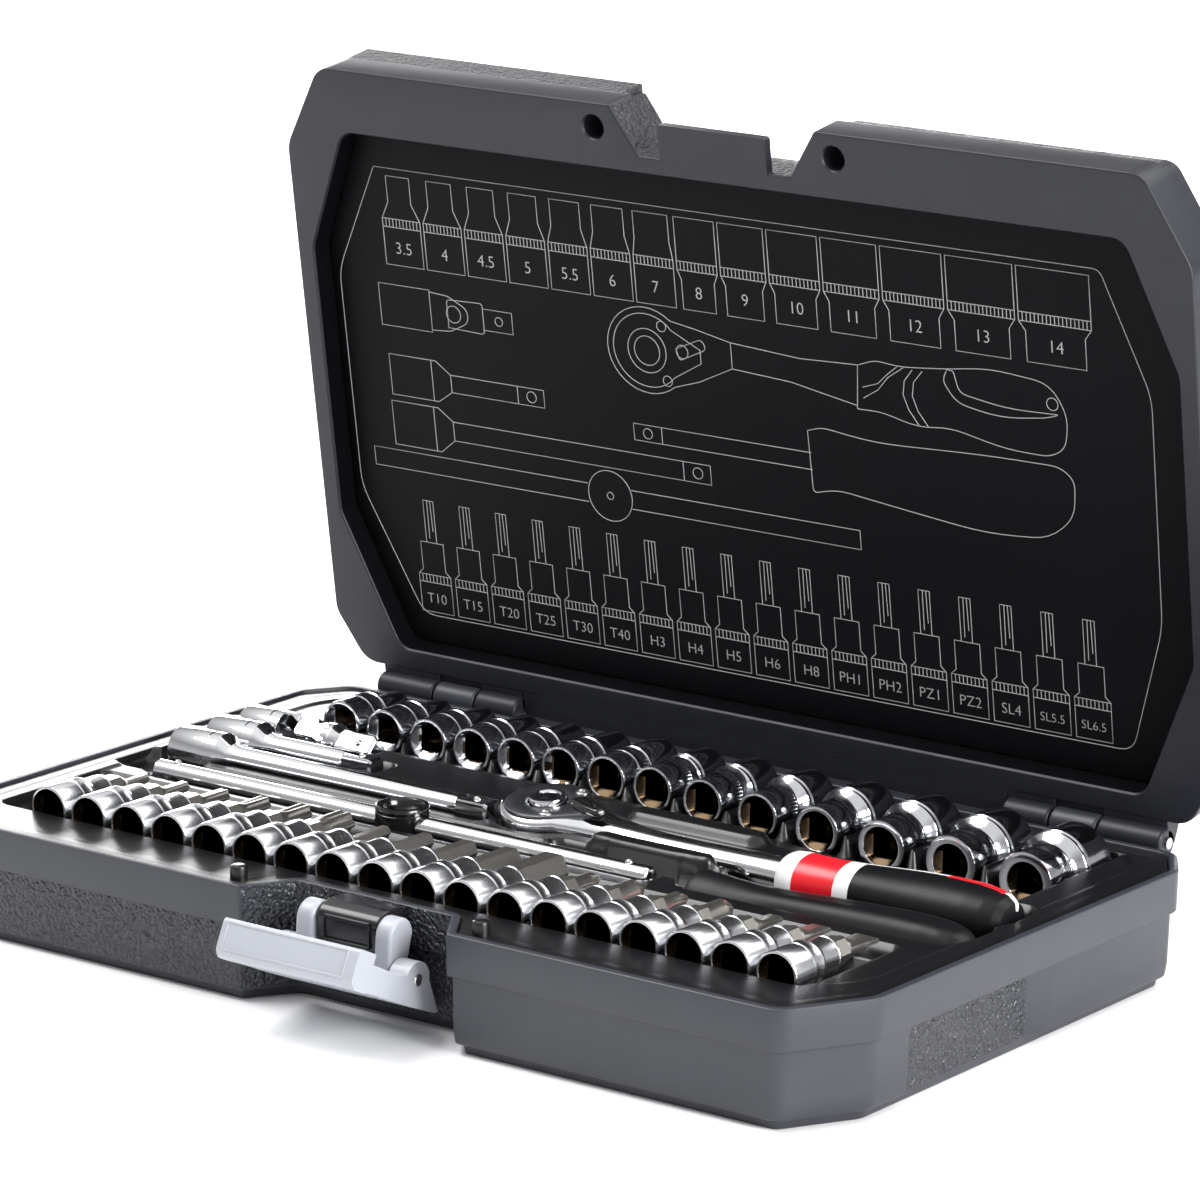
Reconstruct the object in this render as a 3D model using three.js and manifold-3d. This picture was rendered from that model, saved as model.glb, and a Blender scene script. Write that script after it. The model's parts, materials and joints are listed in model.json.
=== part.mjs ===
// A quarter-inch socket wrench set in its plastic case: the case with its lid, latch and hinge,
// a moulded tray, and the tools that lie in it. Millimetres, +X to the right, +Y to the back, +Z up.
// The origin is the centre of the base's underside. The lid is open and the latch hangs open.
import * as THREE from 'three';
import { mergeVertices } from 'three/addons/utils/BufferGeometryUtils.js';
import Module from 'manifold-3d';

const wasm = await Module();
wasm.setup();

// ---------------------------------------------------------------- driving dimensions
const CASE_WIDTH = 270;
const CASE_DEPTH = 165;
const BASE_HEIGHT = 29.5;
const LID_HEIGHT = 20.5;
const WALL = 3;
const BAND_HEIGHT = 10.3; // the proud band that runs round each half beside the joint
const BAND_PROUD = 1.6;
const GAP = 0.35; // running gap between pieces that touch
const FRONT = -CASE_DEPTH / 2;
const REAR = CASE_DEPTH / 2;
const FRONT_CHAMFER = { x: 12.5, y: 22 };
const REAR_CHAMFER = { x: 8.5, y: 13.5 };
const CORNER_RADIUS = 5;

const LID_OPEN = THREE.MathUtils.degToRad(80.4); // how far the lid stands open
const HINGE = { y: REAR + 5.4, z: BASE_HEIGHT, barrel: 3.8, pin: 1.5 };
const LID_PANEL_DEPTH = 6.4;
const LID_OPENING = { halfWidth: 129.8, rear: 5.9, front: 148 };

const RECESS = { halfMouth: 30.6, halfFloor: 22.7, depth: 12.4 }; // the latch sits in this notch
const LINK_PIVOT = { y: FRONT + 5, z: 24.4 };
const LEVER_PIVOT = { y: FRONT + 3.5, z: 15.4 };
const LEVER_HANG = THREE.MathUtils.degToRad(25.3); // the hanging lever's rise above level

const TRAY_TOP = BASE_HEIGHT - 0.7;
const TRAY_SKIN = 1.5;
const RAMP_SLOPE = 0.35;
const TRAY_FLANGE = 1.8;
const RIM_LIP = 2.2; // the thin wall left standing round the tray
const TOOL_TOP = TRAY_TOP + 6.4; // nothing in the tray stands higher than this
const SQUARE = 6.35; // the drive square, a quarter of an inch

const SOCKET_SIZES = [3.5, 4, 4.5, 5, 5.5, 6, 7, 8, 9, 10, 11, 12, 13, 14];
const SOCKET_LENGTH = 24.8;
const SOCKET_MOUTH_Y = 49;
const SOCKET_SPACE = 2.3; // between one socket's side and the next
const SOCKET_FIRST_X = -104.5;

const BIT_NAMES = ['T10', 'T15', 'T20', 'T25', 'T30', 'T40', 'H3', 'H4', 'H5', 'H6', 'H8',
  'PH1', 'PH2', 'PZ1', 'PZ2', 'SL4', 'SL5.5', 'SL6.5'];
const BIT_PITCH = 12.7;
const BIT_MOUTH_Y = -60.5;
const BIT_LENGTH = 37;
const BIT_ROW_CENTRE = -1;
const HOLDER = { radius: 5.6, length: 12.5, noseRadius: 4.6, noseLength: 7.5 };
const BIT_AXIS_Z = TRAY_TOP + 0.5;

const RATCHET = { x: -11.5, y: 14.4, axisZ: 26.3, headRadius: 12.3, headTop: 33, headThickness: 11,
  lean: THREE.MathUtils.degToRad(7.5), gripStart: 58, end: 123 };
const SPINNER = { y: -4, z: 22, shankStart: 2.5, handleStart: 45.5, end: 123.5 };
const TBAR = { y: -10.6, z: 27.4, radius: 3, start: -116, end: 37, sliderX: -38, sliderRadius: 6.4 };
const EXTENSION = { radius: 6, femaleLength: 15, cone: 3.2, shaft: 3.3, maleLength: 9, z: 28.2 };
const LONG_EXTENSION = { x: -123.8, y: 8, length: 99.5 };
const SHORT_EXTENSION = { x: -123.5, y: 22.2, length: 52 };
const JOINT = { x: -124.5, y: 36.2, z: 28, radius: 5.8, femaleLength: 20, maleLength: 22 };

// ---------------------------------------------------------------- solids
function toSolid(geometry) {
  const bare = geometry.clone();
  bare.deleteAttribute('normal');
  bare.deleteAttribute('uv');
  const merged = mergeVertices(bare, 1e-4);
  return new wasm.Manifold(new wasm.Mesh({
    numProp: 3,
    vertProperties: new Float32Array(merged.attributes.position.array),
    triVerts: new Uint32Array(merged.index.array),
  }));
}

function toGeometry(solid) {
  const mesh = solid.getMesh();
  const geometry = new THREE.BufferGeometry();
  geometry.setAttribute('position', new THREE.BufferAttribute(new Float32Array(mesh.vertProperties), 3));
  geometry.setIndex(new THREE.BufferAttribute(new Uint32Array(mesh.triVerts), 1));
  geometry.computeVertexNormals();
  return geometry;
}

const joined = (solids) => solids.reduce((whole, next) => whole.add(next));

// A box from its lowest to its highest corner.
function box(x0, y0, z0, x1, y1, z1) {
  const geometry = new THREE.BoxGeometry(x1 - x0, y1 - y0, z1 - z0);
  geometry.translate((x0 + x1) / 2, (y0 + y1) / 2, (z0 + z1) / 2);
  return toSolid(geometry);
}

// A flat outline in X and Y, raised from z0 to z1.
function prism(points, z0, z1) {
  const geometry = new THREE.ExtrudeGeometry(new THREE.Shape(points), { depth: z1 - z0, bevelEnabled: false });
  geometry.translate(0, 0, z0);
  return toSolid(geometry);
}

// An outline in Y and Z, drawn out along X.
function prismAlongX(points, x0, x1) {
  const geometry = new THREE.ExtrudeGeometry(new THREE.Shape(points), { depth: x1 - x0, bevelEnabled: false });
  geometry.applyMatrix4(new THREE.Matrix4().set(0, 0, 1, x0, 1, 0, 0, 0, 0, 1, 0, 0, 0, 0, 0, 1));
  return toSolid(geometry);
}

// An outline in X and Z, drawn out along Y.
function prismAlongY(points, y0, y1) {
  const geometry = new THREE.ExtrudeGeometry(new THREE.Shape(points), { depth: y1 - y0, bevelEnabled: false });
  geometry.applyMatrix4(new THREE.Matrix4().set(1, 0, 0, 0, 0, 0, -1, y1, 0, 1, 0, 0, 0, 0, 0, 1));
  return toSolid(geometry);
}

// A turned piece: [along, radius] pairs, spun about an axis through start that runs along direction.
function turned(profile, start, direction, segments = 16) {
  const outline = profile.map(([along, radius]) => new THREE.Vector2(radius, along));
  const geometry = new THREE.LatheGeometry(outline, segments, Math.PI / segments);
  const turn = new THREE.Quaternion().setFromUnitVectors(new THREE.Vector3(0, 1, 0), direction);
  geometry.applyQuaternion(turn);
  geometry.translate(start.x, start.y, start.z);
  return toSolid(geometry);
}

const ALONG_X = new THREE.Vector3(1, 0, 0);
const ALONG_Y = new THREE.Vector3(0, 1, 0);
const UP = new THREE.Vector3(0, 0, 1);
const at = (x, y, z) => new THREE.Vector3(x, y, z);
const flat = (x, y) => new THREE.Vector2(x, y);

function rod(radius, start, direction, length, segments = 16) {
  return turned([[0, 0], [0, radius], [length, radius], [length, 0]], start, direction, segments);
}

// A regular outline such as a hexagon, by the distance across its flats.
function polygon(sides, acrossFlats, cx, cy, turn = 0) {
  const radius = acrossFlats / 2 / Math.cos(Math.PI / sides);
  return Array.from({ length: sides }, (_, i) => {
    const angle = turn + (2 * Math.PI * i) / sides;
    return flat(cx + radius * Math.cos(angle), cy + radius * Math.sin(angle));
  });
}

// Rounds every corner of a convex or nearly convex outline with a short arc.
function rounded(points, radius, steps = 2) {
  const out = [];
  points.forEach((corner, i) => {
    const before = points[(i + points.length - 1) % points.length];
    const after = points[(i + 1) % points.length];
    const reach = Math.min(radius, corner.distanceTo(before) / 2.2, corner.distanceTo(after) / 2.2);
    const from = corner.clone().lerp(before, reach / corner.distanceTo(before));
    const to = corner.clone().lerp(after, reach / corner.distanceTo(after));
    const curve = new THREE.QuadraticBezierCurve(from, corner, to);
    out.push(...curve.getPoints(steps));
  });
  return out;
}

const PIECES = new THREE.Group();

function addPiece(name, solid, colour, roughness, metalness, parent = PIECES) {
  const material = new THREE.MeshStandardMaterial({ color: colour, roughness, metalness });
  const mesh = new THREE.Mesh(toGeometry(solid), material);
  mesh.name = name;
  parent.add(mesh);
  return mesh;
}

const CHARCOAL = 0x4b4d53;
const BLACK = 0x1f2023;
const CHROME = 0xc9ccd0;
const DARK_CHROME = 0x8f949b;
const WHITE = 0xe6e9ec;
const RED = 0xd8242b;
const STEEL = 0x9a9c9e;

// ---------------------------------------------------------------- case outlines
// The eight-sided outline of the case, drawn in by inset on every side.
function caseOutline(inset = 0, radius = CORNER_RADIUS) {
  const halfWidth = CASE_WIDTH / 2 - inset;
  const front = FRONT + inset;
  const rear = REAR - inset;
  const trim = inset * 0.45;
  const corners = [
    flat(-halfWidth + FRONT_CHAMFER.x - trim, front), flat(halfWidth - FRONT_CHAMFER.x + trim, front),
    flat(halfWidth, front + FRONT_CHAMFER.y - trim), flat(halfWidth, rear - REAR_CHAMFER.y + trim),
    flat(halfWidth - REAR_CHAMFER.x + trim, rear), flat(-halfWidth + REAR_CHAMFER.x - trim, rear),
    flat(-halfWidth, rear - REAR_CHAMFER.y + trim), flat(-halfWidth, front + FRONT_CHAMFER.y - trim),
  ];
  return rounded(corners, radius);
}

// The notch in the front wall that the latch sits in, grown by a wall's thickness where asked.
function recess(grow, z0, z1) {
  const outer = FRONT - 1;
  const floor = FRONT + RECESS.depth + grow;
  return prism([
    flat(-RECESS.halfMouth - grow, outer), flat(RECESS.halfMouth + grow, outer),
    flat(RECESS.halfMouth + grow, FRONT), flat(RECESS.halfFloor + grow, floor),
    flat(-RECESS.halfFloor - grow, floor), flat(-RECESS.halfMouth - grow, FRONT),
  ], z0, z1);
}

// ---------------------------------------------------------------- case base
const KNUCKLES = { inner: 75, middleStart: 88.3, middleEnd: 102.3, outer: 120.5 };

// One hinge barrel with the arm that carries it, from x0 to x1 on either side.
function knuckle(x0, x1, armPoints) {
  const barrel = rod(HINGE.barrel, at(x0, HINGE.y, HINGE.z), ALONG_X, x1 - x0, 14);
  const arm = prismAlongX(armPoints, x0, x1);
  const bore = rod(HINGE.pin + 0.3, at(x0 - 1, HINGE.y, HINGE.z), ALONG_X, x1 - x0 + 2, 10);
  return barrel.add(arm).subtract(bore);
}

function caseBase() {
  const band = prism(caseOutline(), BASE_HEIGHT - BAND_HEIGHT, BASE_HEIGHT);
  const body = prism(caseOutline(BAND_PROUD), 2.6, BASE_HEIGHT - BAND_HEIGHT + 0.5);
  const foot = prism(caseOutline(BAND_PROUD + 3), 0, 3);
  let shell = joined([band, body, foot]).subtract(recess(0, -1, BASE_HEIGHT + 1));
  const cavity = prism(caseOutline(BAND_PROUD + WALL), WALL, BASE_HEIGHT + 1);
  shell = shell.subtract(cavity.subtract(recess(WALL, 0, BASE_HEIGHT + 2)));
  // A step inside the rim, which the tray's flange drops into.
  const step = prism(caseOutline(RIM_LIP), TRAY_TOP - TRAY_FLANGE - GAP, BASE_HEIGHT + 1);
  shell = shell.subtract(step.subtract(recess(RIM_LIP, 0, BASE_HEIGHT + 2)));
  // The boss that the latch's two arms straddle.
  const bossFront = FRONT + 2;
  const bossLow = BASE_HEIGHT - 10;
  const boss = prismAlongX([
    flat(bossFront, bossLow), flat(FRONT + RECESS.depth + 1, bossLow - 3),
    flat(FRONT + RECESS.depth + 1, BASE_HEIGHT), flat(bossFront + 3, BASE_HEIGHT - 0.6),
    flat(bossFront + 0.8, BASE_HEIGHT - 1.6), flat(bossFront, BASE_HEIGHT - 3.6),
  ], -8.8, 8.8);
  const pivotBore = rod(1.4, at(-10, LINK_PIVOT.y, LINK_PIVOT.z), ALONG_X, 20, 10);
  shell = shell.add(boss).subtract(pivotBore);
  // The hinge rail along the back and the base's two knuckles.
  const rail = prismAlongX([
    flat(REAR - 1, BASE_HEIGHT - 8), flat(REAR + 2.6, BASE_HEIGHT - 5),
    flat(REAR + 2.6, BASE_HEIGHT - 0.6), flat(REAR - 1, BASE_HEIGHT - 0.6),
  ], -72, 72);
  const arm = [
    flat(REAR - 1, HINGE.z - 9), flat(HINGE.y + 1.5, HINGE.z - 3.4),
    flat(HINGE.y, HINGE.z - 0.5), flat(REAR - 1, HINGE.z - 0.6),
  ];
  const right = knuckle(KNUCKLES.middleStart + GAP, KNUCKLES.middleEnd - GAP, arm);
  const left = knuckle(-KNUCKLES.middleEnd + GAP, -KNUCKLES.middleStart - GAP, arm);
  return joined([shell, rail, right, left]);
}

// ---------------------------------------------------------------- lid, drawn closed
function openingOutline(inset) {
  const half = LID_OPENING.halfWidth - inset;
  const rear = REAR - LID_OPENING.rear - inset;
  const front = REAR - LID_OPENING.front + inset;
  return rounded([
    flat(-half + 13.4, front), flat(half - 13.4, front), flat(half, front + 32.4), flat(half, rear - 36.2),
    flat(half - 15.7, rear), flat(-half + 15.7, rear), flat(-half, rear - 36.2), flat(-half, front + 32.4),
  ], 4);
}

function caseLid() {
  const rim = BASE_HEIGHT + GAP;
  const top = BASE_HEIGHT + LID_HEIGHT;
  const band = prism(caseOutline(), rim, rim + BAND_HEIGHT);
  const body = prism(caseOutline(BAND_PROUD), rim + BAND_HEIGHT - 0.5, top - 2.4);
  const crown = prism(caseOutline(BAND_PROUD + 2.2), top - 3, top);
  const notch = recess(0, rim - 1, top + 1);
  let shell = joined([band, body, crown]).subtract(notch);
  const opening = prism(openingOutline(0), rim - 1, rim + LID_PANEL_DEPTH + 2.4);
  const hollow = prism(caseOutline(BAND_PROUD + WALL), rim + LID_PANEL_DEPTH + 2.2, top - 2.4);
  shell = shell.subtract(opening).subtract(hollow.subtract(recess(WALL, rim, top)));
  // The tab that the latch's hook catches, standing out into the notch.
  const tab = box(-16, FRONT + 3.6, rim, 16, FRONT + RECESS.depth + 1, rim + 3);
  shell = shell.add(tab);
  for (const side of [-1, 1]) {
    shell = shell.subtract(rod(3.1, at(side * PEG.x, PEG.y, rim - 1), UP, LID_PANEL_DEPTH + 1, 16));
  }
  const arm = [
    flat(REAR - 1, HINGE.z + 0.6), flat(HINGE.y, HINGE.z + 0.5),
    flat(HINGE.y + 1.5, HINGE.z + 3.4), flat(REAR - 1, HINGE.z + 8),
  ];
  for (const [x0, x1] of [[KNUCKLES.inner, KNUCKLES.middleStart], [KNUCKLES.middleEnd, KNUCKLES.outer]]) {
    shell = shell.add(knuckle(x0, x1, arm)).add(knuckle(-x1, -x0, arm));
  }
  return shell;
}

function lidPanel() {
  const low = BASE_HEIGHT + GAP + LID_PANEL_DEPTH;
  return prism(openingOutline(GAP), low, low + 1.8);
}

const PEG = { x: 35.8, y: REAR - 158.6 };

// Turns a piece that is drawn closed to where the open lid holds it.
function openWithLid(solid) {
  const swing = new THREE.Matrix4().makeTranslation(0, HINGE.y, HINGE.z)
    .multiply(new THREE.Matrix4().makeRotationX(-LID_OPEN))
    .multiply(new THREE.Matrix4().makeTranslation(0, -HINGE.y, -HINGE.z));
  return toSolid(toGeometry(solid).applyMatrix4(swing));
}

addPiece('case_base', caseBase(), CHARCOAL, 0.55, 0);
addPiece('case_lid', openWithLid(caseLid()), CHARCOAL, 0.55, 0);
addPiece('lid_panel', openWithLid(lidPanel()), BLACK, 0.45, 0);
for (const [side, start] of [['left', -KNUCKLES.outer - 0.6], ['right', KNUCKLES.inner + 1]]) {
  const length = KNUCKLES.outer - KNUCKLES.inner - 0.4;
  addPiece(`hinge_pin_${side}`, rod(HINGE.pin, at(start, HINGE.y, HINGE.z), ALONG_X, length, 12),
    STEEL, 0.3, 1);
}

// ---------------------------------------------------------------- latch
const LINK = { inner: 9.2, outer: 14.2, halfDepth: 4.4 };
const LEVER = { halfWidth: 20, length: 36, heel: 11.2, pivotHeight: 5.9, plate: 2.2, earInner: 14.6 };

// The rounded arm's side view, from the lever's pivot up past its own.
function latchLink() {
  const side = [];
  const steps = 6;
  for (let i = 0; i <= steps; i += 1) {
    const angle = (Math.PI * i) / steps;
    side.push(flat(LINK_PIVOT.y + LINK.halfDepth * Math.cos(angle),
      LINK_PIVOT.z + LINK.halfDepth * Math.sin(angle)));
  }
  for (let i = 0; i <= steps; i += 1) {
    const angle = Math.PI + (Math.PI * i) / steps;
    side.push(flat(LEVER_PIVOT.y + 3.4 * Math.cos(angle), LEVER_PIVOT.z + 3.4 * Math.sin(angle)));
  }
  const arms = [-1, 1].map((sign) => prismAlongX(side,
    Math.min(sign * LINK.inner, sign * LINK.outer), Math.max(sign * LINK.inner, sign * LINK.outer)));
  const bridge = rod(3, at(-LINK.inner - 1, LEVER_PIVOT.y, LEVER_PIVOT.z), ALONG_X, 2 * LINK.inner + 2, 12);
  const lowBore = rod(1.4, at(-20, LEVER_PIVOT.y, LEVER_PIVOT.z), ALONG_X, 40, 10);
  const highBore = rod(1.4, at(-20, LINK_PIVOT.y, LINK_PIVOT.z), ALONG_X, 40, 10);
  return joined([...arms, bridge]).subtract(lowBore).subtract(highBore);
}

// The lever, drawn in its own frame: along from the heel to the hooked end, and up from its outer face.
function latchLever() {
  const place = ([along, up]) => {
    const back = -Math.cos(LEVER_HANG) * (along - LEVER.heel) + Math.sin(LEVER_HANG) * (up - LEVER.pivotHeight);
    const rise = Math.sin(LEVER_HANG) * (along - LEVER.heel) + Math.cos(LEVER_HANG) * (up - LEVER.pivotHeight);
    return flat(LEVER_PIVOT.y + back, LEVER_PIVOT.z + rise);
  };
  // Turned the other way round, so that every outline runs anticlockwise.
  const outline = (points) => points.map(place).reverse();
  const plate = prismAlongX(outline([[0, 0.4], [1.5, 0], [LEVER.length - 1, 0], [LEVER.length, 1],
    [LEVER.length, LEVER.plate], [1.5, LEVER.plate]]), -LEVER.halfWidth, LEVER.halfWidth);
  const hook = prismAlongX(outline([[29, 0.5], [LEVER.length, 0.5], [LEVER.length, 7.4],
    [LEVER.length - 0.8, 8.2], [29, 8.2]]), -LEVER.halfWidth, LEVER.halfWidth);
  const lug = [];
  const steps = 5;
  for (let i = 0; i <= steps; i += 1) {
    const angle = Math.PI * (0.08 + (0.8 * i) / steps);
    lug.push([LEVER.heel + 4.4 * Math.cos(angle), LEVER.pivotHeight + 4.4 * Math.sin(angle)]);
  }
  const earShape = [[0.4, 1], [1.5, 0.4], [30, 0.4], [30, 5.2], [18, 5.2], ...lug];
  const ears = [[-LEVER.halfWidth, -LEVER.earInner], [LEVER.earInner, LEVER.halfWidth]]
    .map(([x0, x1]) => prismAlongX(outline(earShape), x0, x1));
  const bore = rod(1.4, at(-25, LEVER_PIVOT.y, LEVER_PIVOT.z), ALONG_X, 50, 10);
  return joined([plate, hook, ...ears]).subtract(bore);
}

addPiece('latch_link', latchLink(), WHITE, 0.45, 0);
addPiece('latch_lever', latchLever(), WHITE, 0.45, 0);
addPiece('latch_link_pin', rod(1.1, at(-13.8, LINK_PIVOT.y, LINK_PIVOT.z), ALONG_X, 27.6, 10), STEEL, 0.3, 1);
addPiece('latch_lever_pin', rod(1.1, at(-19.6, LEVER_PIVOT.y, LEVER_PIVOT.z), ALONG_X, 39.2, 10),
  STEEL, 0.3, 1);

// ---------------------------------------------------------------- sockets
// Each size's radii: at the drive end, which is the mouth, and at the hexagon end.
function socketShape(size) {
  const drive = size <= 10 ? 5.9 : 5.9 + 0.42 * (size - 10);
  const small = 3.6 + 0.55 * (size - 3);
  const large = 6.2 + 0.6 * (size - 8);
  return { drive, hexagon: size < 8 ? small : large, widest: Math.max(drive, size < 8 ? small : large) };
}

// The sockets' places along the rear row, each a fixed space from its neighbour.
function socketRow() {
  let x = SOCKET_FIRST_X;
  return SOCKET_SIZES.map((size, i) => {
    const shape = socketShape(size);
    if (i > 0) x += socketShape(SOCKET_SIZES[i - 1]).widest + SOCKET_SPACE + shape.widest;
    return { size, shape, x, z: TOOL_TOP - shape.widest };
  });
}

function socket({ size, shape, x, z }) {
  const step = 12.6;
  const outside = turned([
    [0, 0], [0, shape.drive - 0.5], [0.5, shape.drive], [step, shape.drive], [step + 2, shape.hexagon],
    [SOCKET_LENGTH - 0.5, shape.hexagon], [SOCKET_LENGTH, shape.hexagon - 0.5], [SOCKET_LENGTH, 0],
  ], at(x, SOCKET_MOUTH_Y, z), ALONG_Y);
  const square = prismAlongY(polygon(4, SQUARE, x, z, Math.PI / 4), SOCKET_MOUTH_Y - 1, SOCKET_MOUTH_Y + 9.5);
  const throat = rod(Math.min(size / 2 - 0.1, 3.1), at(x, SOCKET_MOUTH_Y + 9, z), ALONG_Y, 12, 12);
  const hexagonDepth = Math.min(11.5, 6.5 + size / 2);
  const hexagon = prismAlongY(polygon(6, size + 0.15, x, z),
    SOCKET_MOUTH_Y + SOCKET_LENGTH - hexagonDepth, SOCKET_MOUTH_Y + SOCKET_LENGTH + 1);
  return outside.subtract(joined([square, throat, hexagon]));
}

const SOCKETS = socketRow();
const label = (size) => String(size).replace('.', '_');
SOCKETS.forEach((place) => {
  addPiece(`socket_${label(place.size)}mm`, socket(place), DARK_CHROME, 0.2, 1);
});

// ---------------------------------------------------------------- bit sockets
// The bit's outline across its axis, by its kind and size.
function bitOutline(name, x, z) {
  const size = Number(name.replace(/[^0-9.]/g, ''));
  if (name.startsWith('H')) return polygon(6, size, x, z);
  if (name.startsWith('SL')) {
    return [flat(x - size / 2, z - 0.6), flat(x + size / 2, z - 0.6), flat(x + size / 2, z + 0.6),
      flat(x - size / 2, z + 0.6)];
  }
  const star = name.startsWith('T');
  const radius = star ? 1.0 + size * 0.062 : 2 + size * 0.7;
  const points = star ? 12 : 8;
  return Array.from({ length: points }, (_, i) => {
    const angle = (2 * Math.PI * i) / points;
    const reach = i % 2 ? radius * (star ? 0.74 : 0.5) : radius;
    return flat(x + reach * Math.cos(angle), z + reach * Math.sin(angle));
  });
}

function bitSocket(name, x) {
  const nose = HOLDER.length + HOLDER.noseLength;
  const holder = turned([
    [0, 0], [0, HOLDER.radius - 0.4], [0.4, HOLDER.radius], [HOLDER.length - 1, HOLDER.radius],
    [HOLDER.length, HOLDER.noseRadius], [nose - 0.5, HOLDER.noseRadius], [nose, HOLDER.noseRadius - 0.5],
    [nose, 0],
  ], at(x, BIT_MOUTH_Y, BIT_AXIS_Z), ALONG_Y, 14);
  const thick = name === 'H8' ? 8 : 6.35; // across the flats of the bit's hexagonal shank
  const shankEnd = name.startsWith('H') ? 1 : 5;
  const shank = prismAlongY(polygon(6, thick, x, BIT_AXIS_Z), BIT_MOUTH_Y + nose - 1,
    BIT_MOUTH_Y + nose + shankEnd);
  const tip = prismAlongY(bitOutline(name, x, BIT_AXIS_Z), BIT_MOUTH_Y + nose + shankEnd - 0.5,
    BIT_MOUTH_Y + BIT_LENGTH);
  const square = prismAlongY(polygon(4, SQUARE, x, BIT_AXIS_Z, Math.PI / 4), BIT_MOUTH_Y - 1,
    BIT_MOUTH_Y + 9.5);
  return joined([holder, shank, tip]).subtract(square);
}

const BIT_X = BIT_NAMES.map((_, i) => BIT_ROW_CENTRE + BIT_PITCH * (i - (BIT_NAMES.length - 1) / 2));
BIT_NAMES.forEach((name, i) => {
  addPiece(`bit_socket_${name.replace('.', '_')}`, bitSocket(name, BIT_X[i]), CHROME, 0.3, 1);
});

// ---------------------------------------------------------------- extension bars
function extensionBar({ x, y, length }) {
  const axis = at(x, y, EXTENSION.z);
  const coneEnd = EXTENSION.femaleLength + EXTENSION.cone;
  const bar = turned([
    [0, 0], [0, EXTENSION.radius - 0.5], [0.5, EXTENSION.radius],
    [EXTENSION.femaleLength, EXTENSION.radius], [coneEnd, EXTENSION.shaft],
    [length - EXTENSION.maleLength, EXTENSION.shaft], [length - EXTENSION.maleLength, 0],
  ], axis, ALONG_X);
  const end = x + length;
  const male = prismAlongX(polygon(4, SQUARE - 0.2, y, EXTENSION.z, Math.PI / 4),
    end - EXTENSION.maleLength - 1, end);
  const female = prismAlongX(polygon(4, SQUARE, y, EXTENSION.z, Math.PI / 4), x - 1, x + 9.5);
  return bar.add(male).subtract(female);
}

addPiece('extension_bar_100mm', extensionBar(LONG_EXTENSION), CHROME, 0.15, 1);
addPiece('extension_bar_50mm', extensionBar(SHORT_EXTENSION), CHROME, 0.15, 1);

// ---------------------------------------------------------------- sliding T-bar
function tBarSlider() {
  const body = turned([[0, 0], [0, TBAR.sliderRadius - 0.5], [0.5, TBAR.sliderRadius],
    [8.6, TBAR.sliderRadius], [9, TBAR.sliderRadius - 0.4], [9, 0]],
  at(TBAR.sliderX, TBAR.y, TBAR.z - 4.8), UP, 18);
  const square = prism(polygon(4, SQUARE - 0.2, TBAR.sliderX, TBAR.y, Math.PI / 4), TBAR.z - 12.4, TBAR.z - 4);
  const bore = rod(TBAR.radius + 0.3, at(TBAR.sliderX - 10, TBAR.y, TBAR.z), ALONG_X, 20, 14);
  return body.add(square).subtract(bore);
}

addPiece('t_bar_rod', rod(TBAR.radius, at(TBAR.start, TBAR.y, TBAR.z), ALONG_X, TBAR.end - TBAR.start, 12),
  CHROME, 0.15, 1);
addPiece('t_bar_slider', tBarSlider(), BLACK, 0.2, 0.6);

// ---------------------------------------------------------------- universal joint
// Both pivots of its cross lean 45 degrees, one each way, so that either yoke can swing up out of the tray.
const CROSS_X = JOINT.x + JOINT.femaleLength;
const JOINT_AXIS = at(JOINT.x, JOINT.y, JOINT.z);
const FORK = { slotHalf: 2.9, cheekHalf: 2.1, cheekInner: 3, cheekOuter: 5, webStart: 6.2, webRadius: 5.3 };
const SQUARE_TURN = Math.PI / 4; // turns a four-sided outline until its flats face along the axes

function leaned(solid) {
  const turn = new THREE.Matrix4().makeTranslation(0, JOINT.y, JOINT.z)
    .multiply(new THREE.Matrix4().makeRotationX(Math.PI / 4))
    .multiply(new THREE.Matrix4().makeTranslation(0, -JOINT.y, -JOINT.z));
  return toSolid(toGeometry(solid).applyMatrix4(turn));
}

function socketYoke() {
  const barrel = turned([
    [0, 0], [0, JOINT.radius - 0.5], [0.5, JOINT.radius], [JOINT.femaleLength + 0.6, JOINT.radius],
    [JOINT.femaleLength + 2.2, JOINT.radius - 1.6], [JOINT.femaleLength + 2.2, 0],
  ], JOINT_AXIS, ALONG_X);
  const female = prismAlongX(polygon(4, SQUARE, JOINT.y, JOINT.z, SQUARE_TURN), JOINT.x - 1, JOINT.x + 8);
  const slot = box(CROSS_X - 7.4, JOINT.y - FORK.slotHalf, JOINT.z - 8,
    CROSS_X + 6, JOINT.y + FORK.slotHalf, JOINT.z + 8);
  const pinHole = rod(1.2, at(CROSS_X, JOINT.y - 8, JOINT.z), ALONG_Y, 16, 10);
  // The cheeks narrow beside the cross, which leaves the other yoke's cheeks room to swing.
  const sides = [-1, 1].map((sign) => {
    const ends = [JOINT.z + sign * FORK.cheekHalf, JOINT.z + sign * 8];
    return box(CROSS_X - 4.6, JOINT.y - 8, Math.min(...ends), CROSS_X + 6, JOINT.y + 8, Math.max(...ends));
  });
  return leaned(barrel.subtract(joined([female, slot, pinHole, ...sides])));
}

function cross() {
  const hub = rod(2.6, at(CROSS_X - 2.6, JOINT.y, JOINT.z), ALONG_X, 5.2, 12);
  const firstPin = rod(0.9, at(CROSS_X, JOINT.y - 5.4, JOINT.z), ALONG_Y, 10.8, 10);
  const secondPin = rod(0.9, at(CROSS_X, JOINT.y, JOINT.z - 4.6), UP, 9.2, 10);
  return leaned(joined([hub, firstPin, secondPin]));
}

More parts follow.
